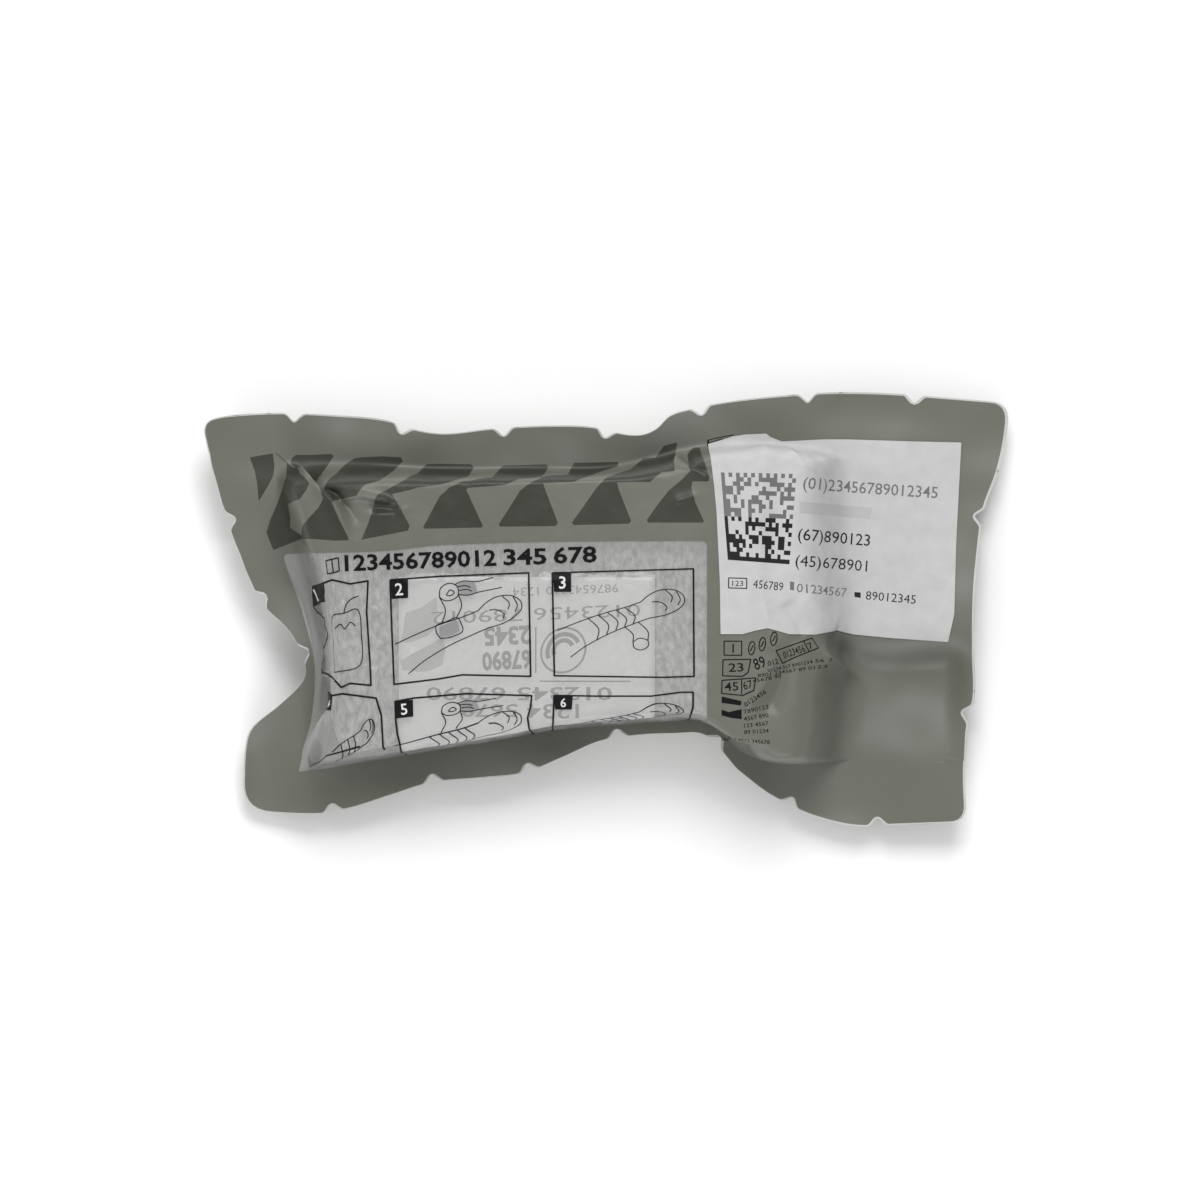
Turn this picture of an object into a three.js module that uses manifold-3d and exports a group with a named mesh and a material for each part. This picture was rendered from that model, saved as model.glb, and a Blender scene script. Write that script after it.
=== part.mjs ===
// A four-inch elastic trauma bandage, vacuum-packed in a heat-sealed film pouch with a clear window.
// The pouch lies on its back with the window up. Millimetres, +Z up, +X along the pouch, +Y towards
// its long side with the dark bars. The origin is on the surface it lies on, under the middle of the outline.
//
// Both films are drawn on one domain of columns c and rows r, whose whole numbers are the lines where
// the form changes. Between two lines the film is flange, wall or plateau:
//   c  0 west edge, 1 west foot, 2 west top, 3 window's east side, 4 east top, 5 east foot, 6 east edge
//   r  0 south edge, 1 south foot, 2 south top, 3 window's north, 4 north top, 5 north foot, 6 north edge
// Keys u and v are shares of half the pouch's length and width. A wall takes its room beside the roll from
// the pieces that lie there, and the flange has what is left between the wall's foot and the pouch's limit.

import * as THREE from 'three';
import { mergeVertices } from 'three/addons/utils/BufferGeometryUtils.js';
import Module from 'manifold-3d';

// Driving dimensions
const POUCH_LENGTH = 190.4;
const POUCH_WIDTH = 102.4;
const FILM_WALL = 0.8;
const FLANGE_HEIGHT = 10.5;
const SEAL_GAP = 0.3;
const WINDOW_GAP = 0.5;
const CLEARANCE = 0.35;

const ROLL_LENGTH = 101.6;
const ROLL_WIDTH = 57;
const ROLL_THICKNESS = 26;
const ROLL_CORNER = 6;
const ROLL_END_ROUND = 3;
const ROLL_CENTRE_X = -11.8;
const ROLL_CENTRE_Y = 1.5;

// The pad's middle and its north side are shares of half the roll's length and width.
const PAD_THICKNESS = 1.0;
const PAD_LENGTH = 60;
const PAD_MIDDLE = -0.14;
const PAD_NORTH = 0.22;
const PAD_TUCK = 7;

// The label's sides lie past lines of the film, by shares of the way to the next line.
const LABEL_THICKNESS = 0.5;
const LABEL_WEST_SHARE = 0.06;
const LABEL_EAST_SHARE = 0.735;
const LABEL_SOUTH_SHARE = 0.5;
const LABEL_NORTH_SHARE = 0.96;

const NOTCH_MOUTH = 3.4;
const NOTCH_DEPTH = 1.7;
const SEAL_PAST_NOTCH = 0.9;

// The front film's crown over the roll, how much sooner the back film leaves the sealing plane (1 is as
// soon), how fast folds grow up a wall, and the u past which the roll's north side runs straight.
const CROWN = 0.6;
const BACK_LEAD = 0.7;
const FOLD_ONSET = 3;
const STRAIGHT_PAST = 0.12;

// How upright the middle of each wall is: 0 is a plain slope, 1 is vertical.
const STEEP = { south: 0.85, north: 0.6, west: 0.5, east: 0.2 };

// The roll's long sides, as shares of half its width from its centre line, with the film's top lines over
// them. Foot lines lie so many rooms further out.
const SOUTH_LINES = [
  { u: -0.9, side: 1.24, foot: 2.05 }, { u: -0.76, side: 1.21, foot: 2.05 },
  { u: -0.51, side: 1.08, foot: 2.07 }, { u: -0.265, side: 0.95, foot: 2.05 },
  { u: -0.117, side: 0.86, foot: 2.09 }, { u: 0.08, side: 0.81, foot: 2.07 },
  { u: 0.16, side: 0.835, foot: 1.6 }, { u: 0.228, side: 0.865, foot: 1.2 },
  { u: 0.28, side: 0.93, foot: 1.5 }, { u: 0.33, side: 1.03, foot: 2.2 },
  { u: 0.43, side: 1.13, foot: 2.25 }, { u: 0.6, side: 1.09, foot: 2.46 },
  { u: 0.9, side: 1.09, foot: 2.46 },
];
const NORTH_LINES = [
  { u: -0.95, side: 0.83, foot: 4.61 }, { u: -0.75, side: 0.86, foot: 4.1 },
  { u: -0.6, side: 0.92, foot: 3.32 }, { u: -0.4, side: 0.95, foot: 2.33 },
  { u: -0.15, side: 0.97, foot: 2.05 }, { u: 0, side: 0.98, foot: 2.05 },
  { u: 0.17, side: 1.03, foot: 3.22 }, { u: 0.26, side: 1.11, foot: 2.87 },
  { u: 0.36, side: 1.13, foot: 2.81 }, { u: 0.52, side: 1.1, foot: 2.7 },
  { u: 0.95, side: 1.06, foot: 2.87 },
];

// The film's top and foot lines past the roll's west end, in rooms.
const WEST_LINES = [
  { v: -0.9, top: 2.76, foot: 5.42 }, { v: -0.75, top: 2.45, foot: 4.81 },
  { v: -0.6, top: 1.24, foot: 4.09 }, { v: -0.41, top: 0.66, foot: 2.9 },
  { v: -0.18, top: 0.47, foot: 2.55 }, { v: 0.05, top: 0.66, foot: 3.71 },
  { v: 0.27, top: 1.04, foot: 5.42 }, { v: 0.5, top: 2.0, foot: 6.87 },
  { v: 0.7, top: 3.71, foot: 7.44 }, { v: 0.9, top: 3.9, foot: 7.71 },
];

// The film's top line past the roll's east end in rooms, and its foot line as a share of the way to the
// pouch's limit.
const EAST_LINES = [
  { v: -0.9, top: 0.65, foot: 0.36 }, { v: -0.7, top: 0.65, foot: 0.36 },
  { v: -0.3, top: 0.2, foot: 0.45 }, { v: 0, top: 0.2, foot: 0.45 }, { v: 0.3, top: 0.65, foot: 0.42 },
  { v: 0.7, top: 1.9, foot: 0.34 }, { v: 0.9, top: 1.9, foot: 0.34 },
];

// The outline, as shares of the way from the narrowest seal beside the foot line to the pouch's limit.
const SOUTH_EDGE = [
  { u: -0.91, out: 0.6 }, { u: -0.722, out: 0.72 }, { u: -0.636, out: 0.63 }, { u: -0.537, out: 0.45 },
  { u: -0.438, out: 0.31 }, { u: -0.315, out: 0.32 }, { u: -0.204, out: 0.32 }, { u: -0.117, out: 0.2 },
  { u: -0.019, out: 0.04 }, { u: 0.08, out: 0 }, { u: 0.191, out: 0.01 }, { u: 0.253, out: 0.02 },
  { u: 0.283, out: 0.08 }, { u: 0.34, out: 0.17 }, { u: 0.414, out: 0.43 }, { u: 0.512, out: 0.79 },
  { u: 0.611, out: 0.98 }, { u: 0.722, out: 0.96 }, { u: 0.885, out: 0.91 },
];
const NORTH_EDGE = [
  { u: -1, out: 0.43 }, { u: -0.94, out: 0.54 }, { u: -0.809, out: 0.61 }, { u: -0.648, out: 0.56 },
  { u: -0.549, out: 0.5 }, { u: -0.475, out: 0.36 }, { u: -0.401, out: 0.32 }, { u: -0.29, out: 0.41 },
  { u: -0.142, out: 0.46 }, { u: -0.031, out: 0.43 }, { u: 0.08, out: 0.18 }, { u: 0.122, out: 0.23 },
  { u: 0.154, out: 0.46 }, { u: 0.204, out: 0.57 }, { u: 0.377, out: 0.85 }, { u: 0.525, out: 1 },
  { u: 0.673, out: 1 }, { u: 0.846, out: 0.88 }, { u: 1, out: 0.76 },
];
const WEST_EDGE = [
  { v: -0.94, out: 0.45 }, { v: -0.803, out: 0.48 }, { v: -0.642, out: 0.51 }, { v: -0.518, out: 0.45 },
  { v: -0.445, out: 0.27 }, { v: -0.367, out: 0.07 }, { v: -0.266, out: 0 }, { v: -0.183, out: 0 },
  { v: -0.11, out: 0.11 }, { v: -0.009, out: 0.32 }, { v: 0.115, out: 0.45 }, { v: 0.321, out: 0.57 },
  { v: 0.518, out: 0.73 }, { v: 0.688, out: 0.88 }, { v: 0.868, out: 1 },
];
const EAST_EDGE = [
  { v: -0.977, out: 0.68 }, { v: -0.872, out: 0.69 }, { v: -0.665, out: 0.67 },
  { v: -0.486, out: 0.67 }, { v: -0.367, out: 0.7 }, { v: -0.183, out: 0.68 }, { v: 0.046, out: 0.69 },
  { v: 0.229, out: 0.73 }, { v: 0.436, out: 0.8 }, { v: 0.596, out: 0.91 }, { v: 0.757, out: 0.97 },
  { v: 0.955, out: 1 },
];

// The window's east side and its north side, as shares of half the roll's length and width.
const WINDOW_EAST = 0.69;
const WINDOW_NORTH = [
  { u: -0.8, side: 0.41 }, { u: -0.55, side: 0.43 }, { u: -0.4, side: 0.48 }, { u: 0, side: 0.51 },
  { u: 1, side: 0.51 },
];

// The v that each row has on average, which the column tables are read with.
const MEAN_ROWS = [-0.84, -0.65, -0.54, 0.3, 0.58, 0.72, 0.9];

// Slow waves of the sealed flange, as shares of its height.
const FLANGE_WAVES = [
  { u: -1.0, v: 0.9, rise: 0.22, acrossU: 0.2, acrossV: 0.4 },
  { u: -0.45, v: 0.85, rise: 0.2, acrossU: 0.12, acrossV: 0.25 },
  { u: -0.78, v: -0.25, rise: 0.3, acrossU: 0.15, acrossV: 0.25 },
  { u: -0.9, v: -0.9, rise: -0.38, acrossU: 0.2, acrossV: 0.3 },
  { u: -0.25, v: -0.8, rise: 0.16, acrossU: 0.2, acrossV: 0.2 },
  { u: 0.1, v: 0.85, rise: 0.2, acrossU: 0.1, acrossV: 0.2 },
  { u: 0.13, v: -0.58, rise: 0.2, acrossU: 0.15, acrossV: 0.15 },
  { u: 0.55, v: -1.0, rise: -0.3, acrossU: 0.3, acrossV: 0.35 },
  { u: 1.0, v: 0.9, rise: -0.34, acrossU: 0.3, acrossV: 0.5 },
  { u: 0.9, v: -0.1, rise: 0.2, acrossU: 0.12, acrossV: 0.35 },
];

// The front film's main folds, from one place to another in columns c and rows r. Ridges rise and valleys
// sink, as shares of the film's rise over the flange, and spread as shares of half the pouch's width.
const FOLDS = [
  { name: 'north_west_ridge', c: 1.58, r: 4.9, toC: 2.07, toR: 3.36, rise: 0.11, spread: 0.05 },
  { name: 'north_west_valley', c: 2.04, r: 5.06, toC: 2.14, toR: 3.85, rise: -0.12, spread: 0.05 },
  { name: 'bar_fold', c: 2.12, r: 4.27, toC: 2.28, toR: 3.87, rise: 0.08, spread: 0.045 },
  { name: 'west_end_valley', c: 1.6, r: 2.9, toC: 1.4, toR: 2.3, rise: -0.06, spread: 0.05 },
  { name: 'south_west_ear', c: 2.01, r: 2.27, toC: 1.12, toR: 1.14, rise: 0.14, spread: 0.06 },
  { name: 'label_ridge', c: 3.81, r: 5.06, toC: 4.25, toR: 3.93, rise: 0.12, spread: 0.05 },
  { name: 'label_valley', c: 4.23, r: 5.03, toC: 4.94, toR: 3.74, rise: -0.08, spread: 0.06 },
  { name: 'print_ridge', c: 3.52, r: 2.15, toC: 4.05, toR: 2.55, rise: 0.1, spread: 0.05 },
  { name: 'south_east_valley', c: 4.12, r: 2.46, toC: 4.82, toR: 2.43, rise: -0.14, spread: 0.09 },
  { name: 'south_east_ridge', c: 4.25, r: 2.39, toC: 5, toR: 2.14, rise: 0.12, spread: 0.06 },
];

// Tear notches along the seal: the side and the place along it.
const NOTCHES = {
  north: [-0.775, -0.506, -0.257, 0.0, 0.23, 0.494, 0.762],
  south: [-0.677, -0.433, -0.192, 0.025, 0.266, 0.45, 0.67],
  west: [0.411, 0.045, -0.2],
  east: [0.427, -0.481],
};

// How far each corner's arc reaches along its two edges.
const CORNERS = [
  { column: 0, row: 0, reach: 7 },
  { column: 6, row: 0, reach: 4.2 },
  { column: 6, row: 6, reach: 4.6 },
  { column: 0, row: 6, reach: 2.8 },
];

// Cells between each pair of lines.
const COLUMN_CELLS = [3, 6, 10, 3, 6, 4];
const ROW_CELLS = [3, 6, 8, 3, 6, 3];

const COLOURS = {
  film: 0x6e6e64, window: 0xb4b6b2, label: 0xc6c9c7, bandage: 0xbfbfb8, pad: 0xd2d4d2,
};

// Values that follow from the driving dimensions
const HALF_LENGTH = POUCH_LENGTH / 2;
const HALF_WIDTH = POUCH_WIDTH / 2;
const ROLL_WEST = ROLL_CENTRE_X - ROLL_LENGTH / 2;
const ROLL_EAST = ROLL_CENTRE_X + ROLL_LENGTH / 2;
const ROOM = PAD_THICKNESS + FILM_WALL + 2 * CLEARANCE;
const NARROWEST_SEAL = NOTCH_DEPTH + SEAL_PAST_NOTCH;
const ROLL_BOTTOM = FILM_WALL + CLEARANCE;
const ROLL_TOP = ROLL_BOTTOM + ROLL_THICKNESS;
const PAD_BOTTOM = ROLL_TOP + CLEARANCE;
const PAD_TOP = PAD_BOTTOM + PAD_THICKNESS;
const PLATEAU = PAD_TOP + CLEARANCE + FILM_WALL;
const FILM_RISE = PLATEAU - FLANGE_HEIGHT;
const WALL_ZONES = { columns: { 1: STEEP.west, 4: STEEP.east }, rows: { 1: STEEP.south, 4: STEEP.north } };

const wasm = await Module();
wasm.setup();

// Reading the tables

// A table's column at a place between its rows, along a smooth curve through them.
function read(table, key, place, column) {
  const last = table.length - 1;
  if (place <= table[0][key]) return table[0][column];
  if (place >= table[last][key]) return table[last][column];
  let i = 0;
  while (table[i + 1][key] < place) i += 1;
  const slope = (j) => {
    const low = table[Math.max(0, j - 1)];
    const high = table[Math.min(last, j + 1)];
    return (high[column] - low[column]) / (high[key] - low[key]);
  };
  const step = table[i + 1][key] - table[i][key];
  const t = (place - table[i][key]) / step;
  const rest = 1 - t;
  return table[i][column] * (1 + 2 * t) * rest * rest + slope(i) * step * t * rest * rest
    + table[i + 1][column] * t * t * (3 - 2 * t) - slope(i + 1) * step * t * t * rest;
}

// A wall's share of its run and of its drop: it leaves both ends level and is steepest in the middle.
const wallRun = (t, steep) => t + (steep * Math.sin(2 * Math.PI * t)) / (2 * Math.PI);
const wallDrop = (t) => t - Math.sin(2 * Math.PI * t) / (2 * Math.PI);

// A place among seven lines, from a column or row number.
function between(lines, number, steepness) {
  const zone = Math.min(5, Math.floor(number));
  const share = number - zone;
  const run = zone in steepness ? wallRun(share, steepness[zone]) : share;
  return lines[zone] + (lines[zone + 1] - lines[zone]) * run;
}

const outwards = (from, limit, share) => from + (limit - from) * share;
const southSide = (u) => ROLL_CENTRE_Y - (read(SOUTH_LINES, 'u', u, 'side') * ROLL_WIDTH) / 2;
const northSide = (u) => ROLL_CENTRE_Y + (read(NORTH_LINES, 'u', u, 'side') * ROLL_WIDTH) / 2;
const southFoot = (u) => southSide(u) - read(SOUTH_LINES, 'u', u, 'foot') * ROOM;
const northFoot = (u) => northSide(u) + read(NORTH_LINES, 'u', u, 'foot') * ROOM;

// The x of each column line at a row's mean place.
function columnLines(v) {
  const westFoot = ROLL_WEST - read(WEST_LINES, 'v', v, 'foot') * ROOM;
  const eastFoot = outwards(ROLL_EAST, HALF_LENGTH, read(EAST_LINES, 'v', v, 'foot'));
  return [
    outwards(westFoot - NARROWEST_SEAL, -HALF_LENGTH, read(WEST_EDGE, 'v', v, 'out')),
    westFoot,
    ROLL_WEST - read(WEST_LINES, 'v', v, 'top') * ROOM,
    ROLL_CENTRE_X + (WINDOW_EAST * ROLL_LENGTH) / 2,
    ROLL_EAST + read(EAST_LINES, 'v', v, 'top') * ROOM,
    eastFoot,
    outwards(eastFoot + NARROWEST_SEAL, HALF_LENGTH, read(EAST_EDGE, 'v', v, 'out')),
  ];
}

const meanRow = (row) => between(MEAN_ROWS, row, WALL_ZONES.rows);
const columnX = (column, row) => between(columnLines(meanRow(row)), column, WALL_ZONES.columns);

// The y of each row line where a column crosses it.
function rowLines(column) {
  const u = MEAN_ROWS.map((_, line) => columnX(column, line) / HALF_LENGTH);
  const windowSide = read(WINDOW_NORTH, 'u', u[3], 'side');
  return [
    outwards(southFoot(u[0]) - NARROWEST_SEAL, -HALF_WIDTH, read(SOUTH_EDGE, 'u', u[0], 'out')),
    southFoot(u[1]),
    southSide(u[2]),
    ROLL_CENTRE_Y + (windowSide * ROLL_WIDTH) / 2,
    northSide(u[4]),
    northFoot(u[5]),
    outwards(northFoot(u[6]) + NARROWEST_SEAL, HALF_WIDTH, read(NORTH_EDGE, 'u', u[6], 'out')),
  ];
}

// The film's form

// How far the film has risen from foot to top at a column or row: 0 on the flange, 1 on the plateau.
function rise(number) {
  if (number <= 1 || number >= 5) return 0;
  if (number >= 2 && number <= 4) return 1;
  return number < 2 ? wallDrop(number - 1) : wallDrop(5 - number);
}

function flangeHeight(u, v) {
  let share = 1;
  for (const wave of FLANGE_WAVES) {
    const away = ((u - wave.u) / wave.acrossU) ** 2 + ((v - wave.v) / wave.acrossV) ** 2;
    share += wave.rise * Math.exp(-away);
  }
  return FLANGE_HEIGHT * share;
}

// A point of the sealing plane, which both films leave to pass over and under the roll.
function sealPoint(column, row) {
  const x = columnX(column, row);
  const y = between(rowLines(column), row, WALL_ZONES.rows);
  return { x, y, z: flangeHeight(x / HALF_LENGTH, y / HALF_WIDTH) };
}

const foldLines = FOLDS.map((fold) => {
  const from = sealPoint(fold.c, fold.r);
  const to = sealPoint(fold.toC, fold.toR);
  const height = fold.rise * FILM_RISE;
  const spread = fold.spread * HALF_WIDTH;
  return { from, dx: to.x - from.x, dy: to.y - from.y, height, spread };
});

// The height that the folds add along the film's normal.
function foldHeight(x, y) {
  let sum = 0;
  for (const { from, dx, dy, height, spread } of foldLines) {
    const along = ((x - from.x) * dx + (y - from.y) * dy) / (dx * dx + dy * dy);
    const held = Math.min(1, Math.max(0, along));
    const away = Math.hypot(x - from.x - held * dx, y - from.y - held * dy) / spread;
    sum += height * Math.exp(-away * away);
  }
  return sum;
}

// The front film's outer face before its folds.
function frontPoint(column, row) {
  const p = sealPoint(column, row);
  const share = rise(column) * rise(row);
  const flange = p.z + SEAL_GAP / 2 + FILM_WALL;
  const acrossTop = ((column - 3) / 3) ** 2 + ((row - 3) / 3) ** 2;
  const crown = CROWN * share * Math.max(0, 1 - acrossTop);
  return new THREE.Vector3(p.x, p.y, flange + (PLATEAU - flange) * share + crown);
}

// The back film's outer face, flat where it rests. It leaves the sealing plane sooner than the front film.
function backPoint(column, row) {
  const p = sealPoint(column, row);
  const share = (rise(column) * rise(row)) ** BACK_LEAD;
  return new THREE.Vector3(p.x, p.y, (p.z - SEAL_GAP / 2 - FILM_WALL) * (1 - share));
}

// Closed sheets from grids of points

function stations(cells) {
  const places = cells.flatMap((count, zone) => Array.from({ length: count }, (_, i) => zone + i / count));
  return [...places, cells.length];
}

// A grid of outer points, with the normal of the faces round each.
function surface(columns, rows, point) {
  const points = columns.map((c) => rows.map((r) => point(c, r)));
  const lastColumn = columns.length - 1;
  const lastRow = rows.length - 1;
  const normals = points.map((line, i) => line.map((_, j) => {
    const along = points[Math.min(lastColumn, i + 1)][j].clone().sub(points[Math.max(0, i - 1)][j]);
    const across = line[Math.min(lastRow, j + 1)].clone().sub(line[Math.max(0, j - 1)]);
    return along.cross(across).normalize();
  }));
  return { points, normals };
}

const offset = (base, distance) => base.points.map(
  (line, i) => line.map((p, j) => p.clone().addScaledVector(base.normals[i][j], distance)),
);

// Joins an upper and a lower grid into one closed solid, made of the cells that are kept.
function sheet(upper, lower, keep = () => true) {
  const positions = [];
  const quad = (a, b, c, d) => [a, b, c, a, c, d].forEach((p) => positions.push(p.x, p.y, p.z));
  const lastColumn = upper.length - 1;
  const lastRow = upper[0].length - 1;
  const kept = (i, j) => i >= 0 && j >= 0 && i < lastColumn && j < lastRow && keep(i, j);
  for (let i = 0; i < lastColumn; i += 1) {
    for (let j = 0; j < lastRow; j += 1) {
      if (!kept(i, j)) continue;
      quad(upper[i][j], upper[i + 1][j], upper[i + 1][j + 1], upper[i][j + 1]);
      quad(lower[i][j], lower[i][j + 1], lower[i + 1][j + 1], lower[i + 1][j]);
      if (!kept(i, j - 1)) quad(lower[i][j], lower[i + 1][j], upper[i + 1][j], upper[i][j]);
      if (!kept(i, j + 1)) quad(upper[i][j + 1], upper[i + 1][j + 1], lower[i + 1][j + 1], lower[i][j + 1]);
      if (!kept(i - 1, j)) quad(upper[i][j], upper[i][j + 1], lower[i][j + 1], lower[i][j]);
      if (!kept(i + 1, j)) quad(lower[i + 1][j], lower[i + 1][j + 1], upper[i + 1][j + 1], upper[i + 1][j]);
    }
  }
  const geometry = new THREE.BufferGeometry();
  geometry.setAttribute('position', new THREE.Float32BufferAttribute(positions, 3));
  return mergeVertices(geometry, 1e-5);
}

// Solids that are cut

function toManifold(geometry) {
  const bare = geometry.clone();
  bare.deleteAttribute('normal');
  bare.deleteAttribute('uv');
  const merged = mergeVertices(bare, 1e-5);
  return new wasm.Manifold(new wasm.Mesh({
    numProp: 3,
    vertProperties: new Float32Array(merged.attributes.position.array),
    triVerts: new Uint32Array(merged.index.array),
  }));
}

function toGeometry(manifold) {
  const mesh = manifold.getMesh();
  const geometry = new THREE.BufferGeometry();
  geometry.setAttribute('position', new THREE.BufferAttribute(new Float32Array(mesh.vertProperties), 3));
  geometry.setIndex(new THREE.BufferAttribute(new Uint32Array(mesh.triVerts), 1));
  return geometry;
}

// The outline's corners and notches, cut straight through both films

function prism(points) {
  const shape = new THREE.Shape(points.map(([x, y]) => new THREE.Vector2(x, y)));
  const height = PLATEAU + 2 * FLANGE_HEIGHT;
  const geometry = new THREE.ExtrudeGeometry(shape, { depth: height, bevelEnabled: false });
  geometry.translate(0, 0, -FLANGE_HEIGHT);
  return toManifold(geometry);
}

const outlinePoint = (column, row) => {
  const p = sealPoint(column, row);
  return new THREE.Vector2(p.x, p.y);
};

// Finds the column or row where a side reaches a stated share along the pouch.
function placeOnSide(side, share) {
  const long = side === 'north' || side === 'south';
  const line = side === 'north' || side === 'east' ? 6 : 0;
  const point = (number) => (long ? outlinePoint(number, line) : outlinePoint(line, number));
  const at = (number) => (long ? point(number).x / HALF_LENGTH : point(number).y / HALF_WIDTH);
  let low = 0;
  let high = 6;
  for (let step = 0; step < 40; step += 1) {
    const middle = (low + high) / 2;
    if (at(middle) < share) low = middle;
    else high = middle;
  }
  const number = (low + high) / 2;
  return (shift) => point(number + shift);
}

function notchCutter(side, share) {
  const place = placeOnSide(side, share);
  const tip = place(0);
  const along = place(0.02).sub(place(-0.02)).normalize();
  const inward = new THREE.Vector2(-along.y, along.x);
  if (side === 'north' || side === 'west') inward.negate();
  const at = (a, b) => [tip.x + along.x * a + inward.x * b, tip.y + along.y * a + inward.y * b];
  return prism([at(-NOTCH_MOUTH, -NOTCH_DEPTH), at(NOTCH_MOUTH, -NOTCH_DEPTH), at(0, NOTCH_DEPTH)]);
}

function cornerCutter({ column, row, reach }) {
  const corner = outlinePoint(column, row);
  const step = 0.3;
  const alongSide = outlinePoint(column === 0 ? step : 6 - step, row).sub(corner).normalize();
  const upSide = outlinePoint(column, row === 0 ? step : 6 - step).sub(corner).normalize();
  const at = (a, b) => [corner.x + alongSide.x * a + upSide.x * b, corner.y + alongSide.y * a + upSide.y * b];
  const segments = 6;
  const points = [];
  for (let i = 0; i <= segments; i += 1) {
    const t = i / segments;
    points.push(at(reach * (1 - t) ** 2, reach * t ** 2));
  }
  points.push(at(-reach, reach), at(-reach, -reach), at(reach, -reach));
  return prism(points);
}

const cutters = [
  ...Object.entries(NOTCHES).flatMap(([side, places]) => places.map((share) => notchCutter(side, share))),
  ...CORNERS.map(cornerCutter),
];
const outlineCutter = wasm.Manifold.union(cutters);

// The pieces

const columns = stations(COLUMN_CELLS);
const rows = stations(ROW_CELLS);
const inWindow = (i, j) => columns[i] >= 1 && columns[i + 1] <= 3 && rows[j] >= 1 && rows[j + 1] <= 3;

// The front film's folds are laid on its smooth form along the normal, and fade out where it is sealed.
function foldedFront(column, row) {
  const step = 0.02;
  const held = (number) => Math.min(6 - step, Math.max(step, number));
  const along = frontPoint(held(column) + step, row).sub(frontPoint(held(column) - step, row));
  const across = frontPoint(column, held(row) + step).sub(frontPoint(column, held(row) - step));
  const p = frontPoint(column, row);
  const free = Math.min(1, FOLD_ONSET * rise(column) * rise(row));
  return p.add(along.cross(across).setLength(foldHeight(p.x, p.y) * free));
}

function frontFilm() {
  const outer = surface(columns, rows, foldedFront);
  const whole = sheet(outer.points, offset(outer, -FILM_WALL), (i, j) => !inWindow(i, j));
  return toGeometry(toManifold(whole).subtract(outlineCutter));
}

function backFilm() {
  const outer = surface(columns, rows, backPoint);
  return toGeometry(toManifold(sheet(offset(outer, FILM_WALL), outer.points)).subtract(outlineCutter));
}

// The clear window fills the front film's opening, short of it by the window's gap on every side.
function windowFilm() {
  const outer = surface(columns, rows, foldedFront);
  const [west, east] = [columns.indexOf(1), columns.indexOf(3)];
  const [south, north] = [rows.indexOf(1), rows.indexOf(3)];
  const faces = [outer.points, offset(outer, -FILM_WALL)].map((grid) => grid
    .slice(west, east + 1)
    .map((line) => line.slice(south, north + 1).map((p) => p.clone())));
  for (const grid of faces) {
    for (const line of grid) {
      pullIn(line, 0, 1);
      pullIn(line, north - south, north - south - 1);
    }
    for (let j = 0; j <= north - south; j += 1) {
      const line = grid.map((column) => column[j]);
      pullIn(line, 0, 1);
      pullIn(line, east - west, east - west - 1);
    }
  }
  return sheet(faces[0], faces[1]);
}

function pullIn(line, edge, inner) {
  const towards = line[inner].clone().sub(line[edge]).normalize();
  line[edge].addScaledVector(towards, WINDOW_GAP);
}

// The label lies on the front film's own facets, so its grid has the film's lines and its own four sides.
function paperLabel() {
  const least = 0.04;
  const inside = (numbers, low, high) => {
    const own = numbers.filter((number) => number > low + least && number < high - least);
    return [low, ...own, high];
  };
  const labelColumns = inside(columns, 3 + LABEL_WEST_SHARE, 5 + LABEL_EAST_SHARE);
  const labelRows = inside(rows, 2 + LABEL_SOUTH_SHARE, 4 + LABEL_NORTH_SHARE);
  const film = surface(columns, rows, foldedFront);
  const on = (grid, c, r) => {
    const i = columns.findIndex((number) => number > c) - 1;
    const j = rows.findIndex((number) => number > r) - 1;
    const a = (c - columns[i]) / (columns[i + 1] - columns[i]);
    const b = (r - rows[j]) / (rows[j + 1] - rows[j]);
    const low = grid[i][j].clone().lerp(grid[i + 1][j], a);
    const high = grid[i][j + 1].clone().lerp(grid[i + 1][j + 1], a);
    return low.lerp(high, b);
  };
  const faces = [CLEARANCE + LABEL_THICKNESS, CLEARANCE].map((distance) => {
    const raised = offset(film, distance);
    return labelColumns.map((c) => labelRows.map((r) => on(raised, c, r)));
  });
  return sheet(faces[0], faces[1]);
}

// The wound bandage: a flattened roll whose two long sides follow the film's top lines.
function rollSection(x, shrink) {
  const south = southSide(x / HALF_LENGTH);
  const north = northSide(Math.min(x / HALF_LENGTH, STRAIGHT_PAST));
  const middleY = (south + north) / 2;
  const middleZ = (ROLL_TOP + ROLL_BOTTOM) / 2;
  const halfY = (north - south) / 2 - shrink;
  const halfZ = ROLL_THICKNESS / 2 - shrink;
  const points = [];
  const turns = 5;
  for (let quarter = 0; quarter < 4; quarter += 1) {
    for (let i = 0; i <= turns; i += 1) {
      const angle = (quarter + i / turns) * (Math.PI / 2);
      const signY = quarter === 0 || quarter === 3 ? 1 : -1;
      const signZ = quarter < 2 ? 1 : -1;
      points.push(new THREE.Vector3(
        x,
        middleY + signY * (halfY - ROLL_CORNER) + ROLL_CORNER * Math.cos(angle),
        middleZ + signZ * (halfZ - ROLL_CORNER) + ROLL_CORNER * Math.sin(angle),
      ));
    }
  }
  return points;
}

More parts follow.
